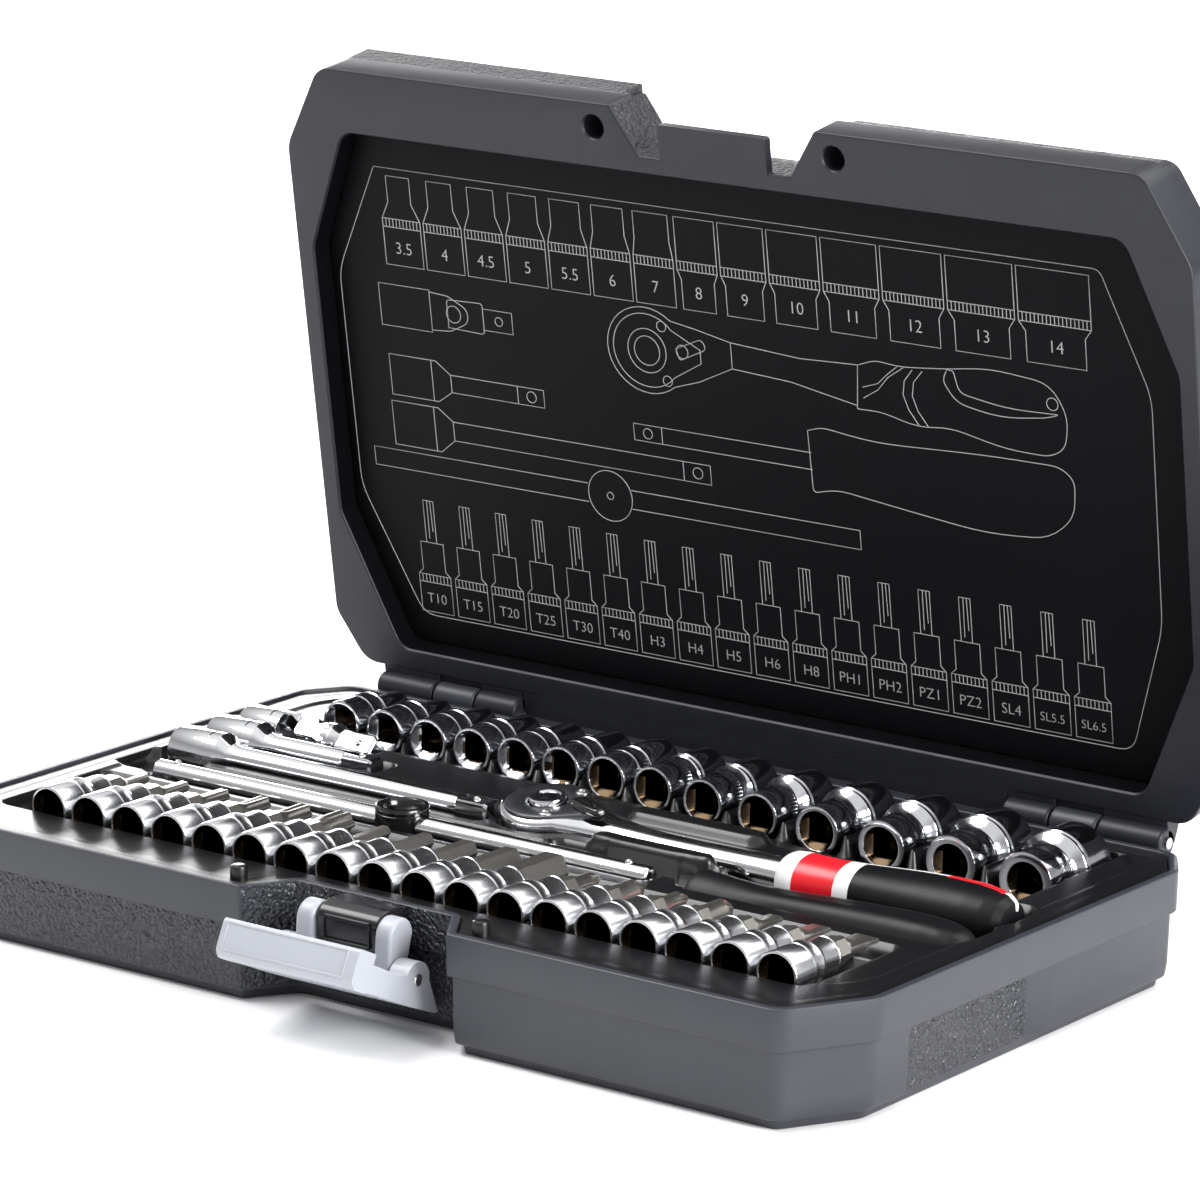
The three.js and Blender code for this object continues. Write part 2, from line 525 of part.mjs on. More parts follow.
// Two cheeks above and below the cross, joined ahead of it, and the square that takes a socket.
function driveYoke() {
  const cheeks = [-1, 1].map((sign) => {
    const ends = [JOINT.z + sign * FORK.cheekInner, JOINT.z + sign * FORK.cheekOuter];
    return box(CROSS_X - 1.9, JOINT.y - FORK.cheekHalf, Math.min(...ends),
      CROSS_X + FORK.webStart + 1, JOINT.y + FORK.cheekHalf, Math.max(...ends));
  });
  const web = turned([[0, 0], [0, FORK.webRadius], [2.8, FORK.webRadius], [4.6, 3.6], [4.6, 0]],
    at(CROSS_X + FORK.webStart, JOINT.y, JOINT.z), ALONG_X);
  const square = prismAlongX(polygon(4, SQUARE - 0.2, JOINT.y, JOINT.z, SQUARE_TURN),
    CROSS_X + FORK.webStart + 4, CROSS_X + JOINT.maleLength);
  const hole = rod(1.2, at(CROSS_X, JOINT.y, JOINT.z - 7), UP, 14, 10);
  return leaned(joined([...cheeks, web, square]).subtract(hole));
}

addPiece('universal_joint_socket_yoke', socketYoke(), CHROME, 0.15, 1);
addPiece('universal_joint_cross', cross(), STEEL, 0.3, 1);
addPiece('universal_joint_drive_yoke', driveYoke(), CHROME, 0.15, 1);

// ---------------------------------------------------------------- spinner handle
const SPINNER_PROFILE = [[0, 7.4], [1, 8], [6, 7.7], [16, 7.2], [28, 7.6], [44, 8.4], [58, 8.9], [70, 8.7],
  [75.5, 7.6], [78, 5]];

function spinnerHandle() {
  const start = at(SPINNER.handleStart, SPINNER.y, SPINNER.z);
  const last = SPINNER_PROFILE[SPINNER_PROFILE.length - 1][0];
  const handle = turned([[0, 0], ...SPINNER_PROFILE, [last, 0]], start, ALONG_X, 18);
  return handle.subtract(rod(3.4, start.clone().setX(start.x - 1), ALONG_X, 23, 12));
}

function spinnerShank() {
  const length = SPINNER.handleStart - SPINNER.shankStart + 21;
  const shank = rod(3.05, at(SPINNER.shankStart + 8, SPINNER.y, SPINNER.z), ALONG_X, length - 8, 12);
  const square = prismAlongX(polygon(4, SQUARE - 0.2, SPINNER.y, SPINNER.z, Math.PI / 4),
    SPINNER.shankStart, SPINNER.shankStart + 9);
  return shank.add(square);
}

addPiece('spinner_handle', spinnerHandle(), BLACK, 0.5, 0);
addPiece('spinner_shank', spinnerShank(), CHROME, 0.15, 1);

// ---------------------------------------------------------------- ratchet
// The ratchet lies with its head's face leaning a little forward, about its own long axis.
const ratchetGroup = new THREE.Group();
ratchetGroup.position.set(0, RATCHET.y, RATCHET.axisZ);
ratchetGroup.rotation.x = RATCHET.lean;
PIECES.add(ratchetGroup);

const HEAD_TOP = RATCHET.headTop - RATCHET.axisZ; // the head's face, in the ratchet's own frame
const HEAD_LOW = HEAD_TOP - RATCHET.headThickness;
const CAVITY_RADIUS = 8.6;
const CAVITY_LOW = HEAD_LOW + 1.8;
const COVER_THICKNESS = 1.6;
const GEAR_TOP = HEAD_TOP - COVER_THICKNESS - 2 * GAP;
const REVERSE = { x: RATCHET.x + 11, shaft: 1.3, turn: THREE.MathUtils.degToRad(-22), pawlShift: -0.75 };

// The head's round end running into the neck, by half widths along X from the head's centre.
function headOutline(inset = 0) {
  const radius = RATCHET.headRadius - inset;
  const points = [];
  const steps = 14;
  const from = THREE.MathUtils.degToRad(62);
  for (let i = 0; i <= steps; i += 1) {
    const angle = from + ((2 * Math.PI - 2 * from) * i) / steps;
    points.push(flat(RATCHET.x + radius * Math.cos(angle), radius * Math.sin(angle)));
  }
  const flank = [[13, 9], [20, 6.4], [26, 4.9]];
  const lower = flank.map(([dx, half]) => flat(RATCHET.x + dx - inset, -half + inset));
  const upper = flank.map(([dx, half]) => flat(RATCHET.x + dx - inset, half - inset)).reverse();
  return [...points, ...lower, ...upper];
}

function ratchetBody() {
  const head = prism(headOutline(), HEAD_LOW, HEAD_TOP - COVER_THICKNESS - GAP);
  const neckStart = RATCHET.x + 20;
  const neck = turned([[0, 0], [0, 4.6], [16, 4.1], [RATCHET.gripStart - neckStart - 8, 4.9],
    [RATCHET.gripStart - neckStart + 44, 4.2], [RATCHET.gripStart - neckStart + 44, 0]],
  at(neckStart, 0, 0), ALONG_X, 14);
  const gearRoom = rod(CAVITY_RADIUS, at(RATCHET.x, 0, CAVITY_LOW), UP, 20, 18);
  const drop = rod(6.3, at(RATCHET.x, 0, HEAD_LOW - 1), UP, 4, 16);
  const pawlRoom = box(RATCHET.x + 5, -5.4, CAVITY_LOW, RATCHET.x + 15, 5.4, HEAD_TOP);
  return joined([head, neck]).subtract(joined([gearRoom, drop, pawlRoom]));
}

function ratchetCover() {
  const plate = prism(headOutline(1.1), HEAD_TOP - COVER_THICKNESS, HEAD_TOP);
  const button = rod(5.7, at(RATCHET.x, 0, HEAD_TOP - 4), UP, 8, 18);
  const pivot = rod(REVERSE.shaft + GAP, at(REVERSE.x, 0, HEAD_TOP - 4), UP, 8, 12);
  return plate.subtract(button).subtract(pivot);
}

function ratchetDrive() {
  const teeth = 18;
  const gear = prism(Array.from({ length: teeth * 2 }, (_, i) => {
    const angle = (Math.PI * i) / teeth;
    const radius = i % 2 ? 7.2 : 7.9;
    return flat(RATCHET.x + radius * Math.cos(angle), radius * Math.sin(angle));
  }), CAVITY_LOW + GAP, GEAR_TOP);
  const collar = rod(5.9, at(RATCHET.x, 0, HEAD_LOW - 0.6), UP, 4, 16);
  const square = prism(polygon(4, SQUARE - 0.2, RATCHET.x, 0, Math.PI / 4), HEAD_LOW - 8, HEAD_LOW);
  const bore = rod(1.7, at(RATCHET.x, 0, HEAD_LOW - 6), UP, 30, 10);
  const well = rod(5.2, at(RATCHET.x, 0, HEAD_TOP - 5), UP, 10, 16);
  return joined([gear, collar, square]).subtract(joined([bore, well]));
}

function releaseButton() {
  const cap = turned([[0, 0], [0, 4.9], [1.8, 4.9], [2.4, 4.3], [2.4, 0]],
    at(RATCHET.x, 0, HEAD_TOP - 1.4), UP, 16);
  const stem = rod(1.4, at(RATCHET.x, 0, HEAD_LOW - 1.5), UP, HEAD_TOP - HEAD_LOW + 0.5, 10);
  return cap.add(stem);
}

// The paddle lies turned to one side, where it holds the pawl over for one direction.
function reversingLever() {
  const shaft = rod(REVERSE.shaft, at(REVERSE.x, 0, CAVITY_LOW + 1), UP, HEAD_TOP + 1 - CAVITY_LOW, 12);
  const paddle = prism(rounded([
    flat(REVERSE.x - 2.9, -2.4), flat(REVERSE.x + 8, -1.9),
    flat(REVERSE.x + 8, 1.9), flat(REVERSE.x - 2.9, 2.4),
  ], 2).map((point) => point.rotateAround(flat(REVERSE.x, 0), REVERSE.turn)), HEAD_TOP + GAP, HEAD_TOP + 2.1);
  return shaft.add(paddle);
}

// The pawl slides across its room as the lever's shaft carries it over.
function pawl() {
  const face = RATCHET.x + 8.3;
  const back = face + 5.6;
  const middle = REVERSE.pawlShift;
  const shape = [
    flat(face + 0.3, middle), flat(face, middle - 3), flat(face + 1.2, middle - 4), flat(back, middle - 3.4),
    flat(back, middle + 3.4), flat(face + 1.2, middle + 4), flat(face, middle + 3),
  ];
  const slotHalf = REVERSE.shaft + GAP;
  const slot = box(REVERSE.x - slotHalf, -slotHalf + 2 * middle, HEAD_LOW, REVERSE.x + slotHalf, slotHalf,
    HEAD_TOP);
  return prism(shape, CAVITY_LOW + GAP, GEAR_TOP).subtract(slot);
}

// Half width and half thickness of the grip along its length from the ferrule.
const GRIP_STATIONS = [[0, 7.2, 6.4], [5, 7.6, 6.6], [12, 6.9, 6.4], [24, 7.3, 6.8], [38, 8.6, 7.8],
  [54, 8.9, 8.1], [61, 7.6, 6.9], [65, 4.6, 4.4]];
const BAND_END = 16; // where the red band gives way to the black grip

function gripSolid(from, to) {
  const sides = 16;
  const stations = GRIP_STATIONS.filter(([x]) => x > from && x < to);
  const between = (x) => {
    const next = GRIP_STATIONS.findIndex(([station]) => station >= x);
    const [x1, width1, thick1] = GRIP_STATIONS[next];
    const [x0, width0, thick0] = GRIP_STATIONS[Math.max(next - 1, 0)];
    const share = x1 === x0 ? 0 : (x - x0) / (x1 - x0);
    return [x, width0 + (width1 - width0) * share, thick0 + (thick1 - thick0) * share];
  };
  const rows = [between(from), ...stations, between(to)];
  const positions = [];
  rows.forEach(([x, width, thick]) => {
    for (let i = 0; i < sides; i += 1) {
      const angle = (2 * Math.PI * (i + 0.5)) / sides;
      positions.push(RATCHET.gripStart + x, width * Math.cos(angle), thick * Math.sin(angle));
    }
  });
  const faces = [];
  for (let row = 0; row < rows.length - 1; row += 1) {
    for (let i = 0; i < sides; i += 1) {
      const a = row * sides + i;
      const b = row * sides + ((i + 1) % sides);
      faces.push(a, b, a + sides, b, b + sides, a + sides);
    }
  }
  for (let i = 1; i < sides - 1; i += 1) {
    const end = (rows.length - 1) * sides;
    faces.push(0, i + 1, i, end, end + i, end + i + 1);
  }
  const geometry = new THREE.BufferGeometry();
  geometry.setAttribute('position', new THREE.BufferAttribute(new Float32Array(positions), 3));
  geometry.setIndex(faces);
  const bore = turned([[0, 0], [0, 5.2], [60, 5.2], [60, 0]], at(RATCHET.gripStart - 9, 0, 0), ALONG_X, 16);
  return toSolid(geometry).subtract(bore);
}

addPiece('ratchet_body', ratchetBody(), CHROME, 0.2, 1, ratchetGroup);
addPiece('ratchet_cover', ratchetCover(), STEEL, 0.35, 1, ratchetGroup);
addPiece('ratchet_drive', ratchetDrive(), STEEL, 0.3, 1, ratchetGroup);
addPiece('ratchet_release_button', releaseButton(), CHROME, 0.2, 1, ratchetGroup);
addPiece('ratchet_reversing_lever', reversingLever(), BLACK, 0.3, 0, ratchetGroup);
addPiece('ratchet_pawl', pawl(), STEEL, 0.4, 1, ratchetGroup);
addPiece('ratchet_grip', gripSolid(BAND_END + GAP, 65), BLACK, 0.6, 0, ratchetGroup);
addPiece('ratchet_grip_band', gripSolid(0, BAND_END), RED, 0.5, 0, ratchetGroup);

// ---------------------------------------------------------------- tray
// Every pocket is a hollow that opens upward; grown by the skin, it is also that pocket's outside.
function pocketBox(x0, x1, y0, y1, floor, grow) {
  const top = grow > 0 ? TRAY_TOP - 0.4 : TRAY_TOP + 8;
  return box(x0 - grow, y0 - grow, floor - grow, x1 + grow, y1 + grow, top);
}

// A round-bottomed channel along Y, as the sockets lie in.
function pocketChannel(x, z, radius, y0, y1, grow) {
  const top = grow > 0 ? TRAY_TOP - 0.4 : TRAY_TOP + 8;
  const wide = radius + grow;
  const outline = [flat(x + wide, top), flat(x - wide, top)];
  const steps = 8;
  for (let i = 0; i <= steps; i += 1) {
    const angle = Math.PI + (Math.PI * i) / steps;
    outline.push(flat(x + wide * Math.cos(angle), Math.min(z, top - 1) + wide * Math.sin(angle)));
  }
  return prismAlongY(outline, y0 - grow, y1 + grow);
}

// In front of each socket the tray slopes down to its drive mouth, so that a square end can reach it.
function pocketRamp({ shape, x, z }, grow) {
  const top = grow > 0 ? TRAY_TOP - 0.4 : TRAY_TOP + 8;
  const mouthFloor = z - 0.72 * shape.drive;
  const low = flat(SOCKET_MOUTH_Y + grow, mouthFloor - grow);
  const high = flat(SOCKET_MOUTH_Y - (TRAY_TOP - mouthFloor) / RAMP_SLOPE - grow, TRAY_TOP - grow);
  return prismAlongX([flat(high.x, top), high, low, flat(low.x, top)], x - shape.widest - grow,
    x + shape.widest + grow);
}

// The groove under the universal joint has sides at 45 degrees, along which its yokes swing.
function pocketGroove(grow) {
  const top = grow > 0 ? TRAY_TOP - 0.4 : TRAY_TOP + 8;
  const half = 6.6 + grow;
  const slope = top - (JOINT.z - half * Math.SQRT2);
  return prismAlongX([
    flat(JOINT.y - slope, top), flat(JOINT.y, JOINT.z - half * Math.SQRT2), flat(JOINT.y + slope, top),
  ], JOINT.x - 1.2 - grow, JOINT.x + JOINT.femaleLength + JOINT.maleLength + 1.4 + grow);
}

function pockets(grow) {
  const list = [];
  const half = HOLDER.radius + 1;
  list.push(pocketBox(BIT_X[0] - half - 4, BIT_X[BIT_X.length - 1] + half, BIT_MOUTH_Y - 1,
    BIT_MOUTH_Y + BIT_LENGTH + 1, BIT_AXIS_Z - HOLDER.radius - GAP, grow));
  SOCKETS.forEach((socket) => {
    const { shape, x, z } = socket;
    list.push(pocketChannel(x, z, shape.widest + 0.45, SOCKET_MOUTH_Y - 1, SOCKET_MOUTH_Y + SOCKET_LENGTH + 0.8,
      grow));
    list.push(pocketRamp(socket, grow));
  });
  const deep = EXTENSION.z - EXTENSION.radius - GAP;
  list.push(pocketBox(LONG_EXTENSION.x - 1.2, LONG_EXTENSION.x + LONG_EXTENSION.length + 1,
    LONG_EXTENSION.y - 6.6, LONG_EXTENSION.y + 6.6, deep, grow));
  list.push(pocketBox(SHORT_EXTENSION.x - 1.2, SHORT_EXTENSION.x + SHORT_EXTENSION.length + 1,
    SHORT_EXTENSION.y - 6.6, SHORT_EXTENSION.y + 6.6, deep, grow));
  list.push(pocketGroove(grow));
  // The T-bar's channel is wide enough for its slider to run the bar's whole length.
  list.push(pocketBox(TBAR.start - 2, TBAR.end + 2, TBAR.y - TBAR.sliderRadius - 0.6,
    TBAR.y + TBAR.sliderRadius + 0.6, TBAR.z - 13, grow));
  list.push(pocketBox(SPINNER.shankStart - 1.5, SPINNER.handleStart, SPINNER.y - 4, SPINNER.y + 4,
    SPINNER.z - 3.6, grow));
  list.push(pocketBox(SPINNER.handleStart - 1.5, SPINNER.end + 1.2, SPINNER.y - 9.4, SPINNER.y + 9,
    SPINNER.z - 9.4, grow));
  const headZ = TRAY_TOP - RATCHET.headThickness - 6;
  list.push(prism(polygon(20, 2 * (RATCHET.headRadius + 1.4 + grow), RATCHET.x, RATCHET.y),
    headZ - 7 - grow, grow > 0 ? TRAY_TOP - 0.4 : TRAY_TOP + 8));
  list.push(pocketBox(RATCHET.x, RATCHET.gripStart, RATCHET.y - 6.6, RATCHET.y + 6.6,
    RATCHET.axisZ - 7.6, grow));
  list.push(pocketBox(RATCHET.x + 6, RATCHET.x + 22, RATCHET.y - 11, RATCHET.y + 11,
    RATCHET.axisZ - 7.6, grow));
  list.push(pocketBox(RATCHET.gripStart - 1, RATCHET.end + 1.5, RATCHET.y - 9.6, RATCHET.y + 9.8,
    RATCHET.axisZ - 9.6, grow));
  // A finger dip beside the long tools' left ends.
  list.push(pocketBox(LONG_EXTENSION.x - 4, LONG_EXTENSION.x + 6, TBAR.y - 2, LONG_EXTENSION.y + 2,
    deep, grow));
  return joined(list);
}

function tray() {
  const flange = prism(caseOutline(RIM_LIP + GAP), TRAY_TOP - TRAY_FLANGE, TRAY_TOP)
    .subtract(recess(RIM_LIP + GAP, TRAY_TOP - 3, TRAY_TOP + 1));
  const fins = BIT_X.slice(1).map((x) => {
    const middle = x - BIT_PITCH / 2;
    return box(middle - 1, BIT_MOUTH_Y + 25, BIT_AXIS_Z - HOLDER.radius - GAP - 0.4,
      middle + 1, BIT_MOUTH_Y + BIT_LENGTH + 1.4, TRAY_TOP);
  });
  const pegs = [-1, 1].map((side) => turned([[0, 0], [0, 2.5], [4.6, 2.3], [5, 1.9], [5, 0]],
    at(side * PEG.x, PEG.y, TRAY_TOP - 0.5), UP, 12));
  return joined([flange.add(pockets(TRAY_SKIN)).subtract(pockets(0)), ...fins, ...pegs]);
}

addPiece('tray', tray(), BLACK, 0.3, 0);

export default PIECES;
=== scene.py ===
"""The looks of the socket wrench set in its case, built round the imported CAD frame.

Shapes are worked out in millimetres in the frame's own axes and scaled to metres as meshes.
Places and sizes come from the frame's nodes and joints; the named sizes below add the finer detail.
"""
import json
import math

import bmesh
import bpy
import numpy as np
from mathutils import Matrix, Vector


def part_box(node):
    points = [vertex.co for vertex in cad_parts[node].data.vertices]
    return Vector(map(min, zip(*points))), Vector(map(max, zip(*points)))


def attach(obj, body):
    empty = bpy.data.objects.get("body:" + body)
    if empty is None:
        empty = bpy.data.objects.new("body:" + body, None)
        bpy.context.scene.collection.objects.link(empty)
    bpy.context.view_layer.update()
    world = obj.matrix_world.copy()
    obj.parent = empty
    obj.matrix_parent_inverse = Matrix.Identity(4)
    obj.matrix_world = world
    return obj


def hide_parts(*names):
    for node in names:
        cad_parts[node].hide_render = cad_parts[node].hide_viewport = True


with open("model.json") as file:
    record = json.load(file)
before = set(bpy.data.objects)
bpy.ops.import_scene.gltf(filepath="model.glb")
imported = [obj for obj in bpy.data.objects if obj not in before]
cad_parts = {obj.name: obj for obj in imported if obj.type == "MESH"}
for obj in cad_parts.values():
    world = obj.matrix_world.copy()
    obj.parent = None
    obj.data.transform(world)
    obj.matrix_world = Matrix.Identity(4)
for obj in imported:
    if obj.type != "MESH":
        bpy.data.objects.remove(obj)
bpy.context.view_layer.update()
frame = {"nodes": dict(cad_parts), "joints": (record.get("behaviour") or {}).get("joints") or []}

MM = 0.001
TAU = 2 * math.pi
X_AXIS = Vector((1, 0, 0))
Y_AXIS = Vector((0, 1, 0))
Z_AXIS = Vector((0, 0, 1))
JOINTS = {joint["name"]: joint for joint in frame["joints"]}


def joint_point(name):
    return Vector(JOINTS[name]["pos_m"]) / MM


def cad_box(node):
    low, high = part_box(node)
    return low / MM, high / MM


def cad_axis(node):
    """The length of a piece that lies along X, and its axis's left end."""
    low, high = cad_box(node)
    middle = (low + high) / 2
    return high.x - low.x, Vector((low.x, middle.y, middle.z))


def linked(name, data):
    """A new object in the scene."""
    thing = bpy.data.objects.new(name, data)
    bpy.context.scene.collection.objects.link(thing)
    return thing


# ---- camera
# The view: how far round from the front, how far up, and the small tilt of the picture.
VIEW = {"azimuth": 35.8, "elevation": 13.7, "roll": 1.0, "distance": 1413.4, "lens": 177.5}
VIEW_TARGET = Vector((12.9, 0, 89.8))


def make_camera():
    azimuth = math.radians(VIEW["azimuth"])
    elevation = math.radians(VIEW["elevation"])
    roll = math.radians(VIEW["roll"])
    back = Vector((math.sin(azimuth) * math.cos(elevation), -math.cos(azimuth) * math.cos(elevation),
                   math.sin(elevation)))
    right = Z_AXIS.cross(back).normalized()
    up = back.cross(right)
    rolled_right = right * math.cos(roll) + up * math.sin(roll)
    rolled_up = up * math.cos(roll) - right * math.sin(roll)
    camera = linked("camera", bpy.data.cameras.new("camera"))
    turn = Matrix((rolled_right, rolled_up, back)).transposed().to_4x4()
    place = (VIEW_TARGET + back * VIEW["distance"]) * MM
    camera.matrix_world = Matrix.Translation(place) @ turn
    camera.data.lens = VIEW["lens"]
    camera.data.sensor_width = 36
    camera.data.clip_end = 20
    bpy.context.scene.camera = camera


make_camera()


# ---- shapes
def outline(corners, inset=0.0, steps=5):
    """A flat rounded outline, drawn in by inset. Corners are (x, y, radius), anticlockwise."""
    points = []
    count = len(corners)
    for i, (x, y, radius) in enumerate(corners):
        before = Vector(corners[i - 1][:2])
        here = Vector((x, y))
        after = Vector(corners[(i + 1) % count][:2])
        along = (here - before).normalized()
        onward = (after - here).normalized()
        normal = Vector((-along.y, along.x))
        next_normal = Vector((-onward.y, onward.x))
        moved = here + (normal + next_normal) * (inset / (1 + normal.dot(next_normal)))
        turn = math.atan2(along.x * onward.y - along.y * onward.x, along.dot(onward))
        bend = max(radius - inset, 0.3) if turn > 0 else radius + max(inset, 0)
        start = moved - along * (bend * abs(math.tan(turn / 2)))
        centre = start + (normal if turn > 0 else -normal) * bend
        arm = start - centre
        for k in range(steps + 1):
            angle = turn * k / steps
            cos, sin = math.cos(angle), math.sin(angle)
            points.append(centre + Vector((arm.x * cos - arm.y * sin, arm.x * sin + arm.y * cos)))
    return points


def rounded_line(points, steps=3):
    """An open line whose corners are rounded. Points are (a, b, radius)."""
    out = [Vector(points[0][:2])]
    for before, here, after in zip(points, points[1:], points[2:]):
        corner = Vector(here[:2])
        back = Vector(before[:2]) - corner
        ahead = Vector(after[:2]) - corner
        reach = min(here[2], back.length * 0.49, ahead.length * 0.49)
        if reach < 0.01:
            out.append(corner)
            continue
        start = corner + back.normalized() * reach
        end = corner + ahead.normalized() * reach
        for k in range(steps + 1):
            t = k / steps
            out.append(start * (1 - t) ** 2 + corner * (2 * t * (1 - t)) + end * t * t)
    out.append(Vector(points[-1][:2]))
    return out


def loft(rings, closed=False):
    """Faces between rings of equally many points; open lofts are capped at both ends."""
    count = len(rings[0])
    points = [tuple(p) for ring in rings for p in ring]
    faces = []
    for row in range(len(rings) if closed else len(rings) - 1):
        a = row * count
        b = ((row + 1) % len(rings)) * count
        for i in range(count):
            j = (i + 1) % count
            faces.append((a + i, a + j, b + j, b + i))
    if not closed:
        faces.append(tuple(reversed(range(count))))
        faces.append(tuple(range((len(rings) - 1) * count, len(rings) * count)))
    return points, faces


def raised(corners, profile, steps=5):
    """A solid that follows an outline, with a profile of (inset, height) from one end to the other."""
    return loft([[(p.x, p.y, height) for p in outline(corners, inset, steps)] for inset, height in profile])


def circle(radius):
    return lambda angle: radius + 0 * angle


def square(half, corner=None):
    corner = corner or half * 1.34
    return lambda a: np.minimum(half / np.maximum(abs(np.cos(a)), abs(np.sin(a))), corner)


def hexagon(half):
    return lambda a: half / np.cos(a % (math.pi / 3) - math.pi / 6)


def star(radius):
    return lambda a: radius * (0.87 + 0.13 * np.cos(6 * a))


def crossed(radius, half_arm):
    narrow = lambda a: np.maximum(np.minimum(abs(np.cos(a)), abs(np.sin(a))), 1e-3)
    return lambda a: np.minimum(radius, half_arm / narrow(a))


def blade(half_width, half_thick):
    return lambda a: np.minimum(half_width / np.maximum(abs(np.cos(a)), 1e-3),
                                half_thick / np.maximum(abs(np.sin(a)), 1e-3))


def ridged(radius, depth, teeth):
    return lambda a: radius - depth * (0.5 - 0.5 * np.cos(teeth * a))


def turned(rows, origin, direction, count=48, closed=False):
    """A piece made round an axis. Rows are (along, radius), where a radius is a number or a shape."""
    across = X_AXIS if abs(direction.x) < 0.9 else Y_AXIS
    across = (across - direction * across.dot(direction)).normalized()
    other = direction.cross(across)
    angles = np.arange(count) * TAU / count
    rings = []
    for along, radius in rows:
        shape = radius if callable(radius) else circle(radius)
        centre = origin + direction * along
        rings.append([centre + (across * math.cos(a) + other * math.sin(a)) * r
                      for a, r in zip(angles, shape(angles))])
    return loft(rings, closed)


def ball(centre, radius, count=16):
    rows = [(-radius * math.cos(math.pi * k / 10), max(radius * math.sin(math.pi * k / 10), 0.01))
            for k in range(11)]
    return turned(rows, centre, Z_AXIS, count)


def prism(points, z0, z1):
    """A flat outline in X and Y, drawn out along Z."""
    return loft([[(p[0], p[1], z) for p in points] for z in (z0, z1)])


def slab(low, high):
    """A box between two corners, for cutting."""
    (x0, y0, z0), (x1, y1, z1) = low, high
    return prism([(x0, y0), (x1, y0), (x1, y1), (x0, y1)], z0, z1)


def side_view(points, x0, x1):
    """An outline in Y and Z, drawn out along X."""
    return loft([[(x, p[0], p[1]) for p in points] for x in (x0, x1)])


class Shape:
    """Gathers closed shapes, in millimetres, into one mesh. Each shape has a material slot."""

    def __init__(self, *shapes):
        self.points = []
        self.faces = []
        self.slots = []
        self.add_all(shapes)

    def add_all(self, shapes):
        for shape in shapes:
            self.add(shape)

    def add(self, shape, slot=0, matrix=None):
        points, faces = shape
        start = len(self.points)
        for point in points:
            self.points.append(tuple(matrix @ Vector(point)) if matrix else tuple(point))
        self.faces += [tuple(start + i for i in face) for face in faces]
        self.slots += [slot] * len(faces)
        return self

    def mesh(self, name):
        mesh = bpy.data.meshes.new(name)
        mesh.from_pydata([Vector(p) * MM for p in self.points], [], self.faces)
        mesh.polygons.foreach_set("material_index", self.slots)
        work = bmesh.new()
        work.from_mesh(mesh)
        bmesh.ops.recalc_face_normals(work, faces=work.faces)
        work.to_mesh(mesh)
        work.free()
        return mesh

    def object(self, name):
        return linked(name, self.mesh(name))


def give(thing, *materials):
    for material in materials:
        thing.data.materials.append(material)


TO_METRES = Matrix.Diagonal((MM,) * 3).to_4x4()


def move(thing, matrix):
    """Moves a mesh by a matrix that is stated in millimetres."""
    thing.data.transform(TO_METRES @ matrix @ TO_METRES.inverted())


def cut(thing, cutter, operation="DIFFERENCE"):
    """Cuts thing with a shape, or joins the shape to it, and keeps the result as its mesh."""
    tool = Shape(cutter).object(thing.name + "_cutter")
    give(tool, *thing.data.materials)
    modifier = thing.modifiers.new("cut", "BOOLEAN")
    modifier.operation = operation
    modifier.solver = "EXACT"
    modifier.object = tool
    depsgraph = bpy.context.evaluated_depsgraph_get()
    result = bpy.data.meshes.new_from_object(thing.evaluated_get(depsgraph))
    thing.modifiers.remove(modifier)
    old = thing.data
    thing.data = result
    bpy.data.meshes.remove(old)
    bpy.data.objects.remove(tool)
    return thing


def smooth(thing):
    mesh = thing.data
    mesh.polygons.foreach_set("use_smooth", [True] * len(mesh.polygons))
    mesh.set_sharp_from_angle(angle=math.radians(32))


def soften(thing, width, segments=2, angle=35):
    """Rounds the sharp edges with a bevel modifier."""
    bevel = thing.modifiers.new("soften", "BEVEL")
    bevel.width = width * MM
    bevel.segments = segments
    bevel.limit_method = "ANGLE"
    bevel.angle_limit = math.radians(angle)
    bevel.harden_normals = False


def finish_piece(thing, body, nodes=(), materials=()):
    """Hands a piece over: its materials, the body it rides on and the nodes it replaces."""
    give(thing, *materials)
    smooth(thing)
    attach(thing, body)
    if nodes:
        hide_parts(*nodes)
    return thing


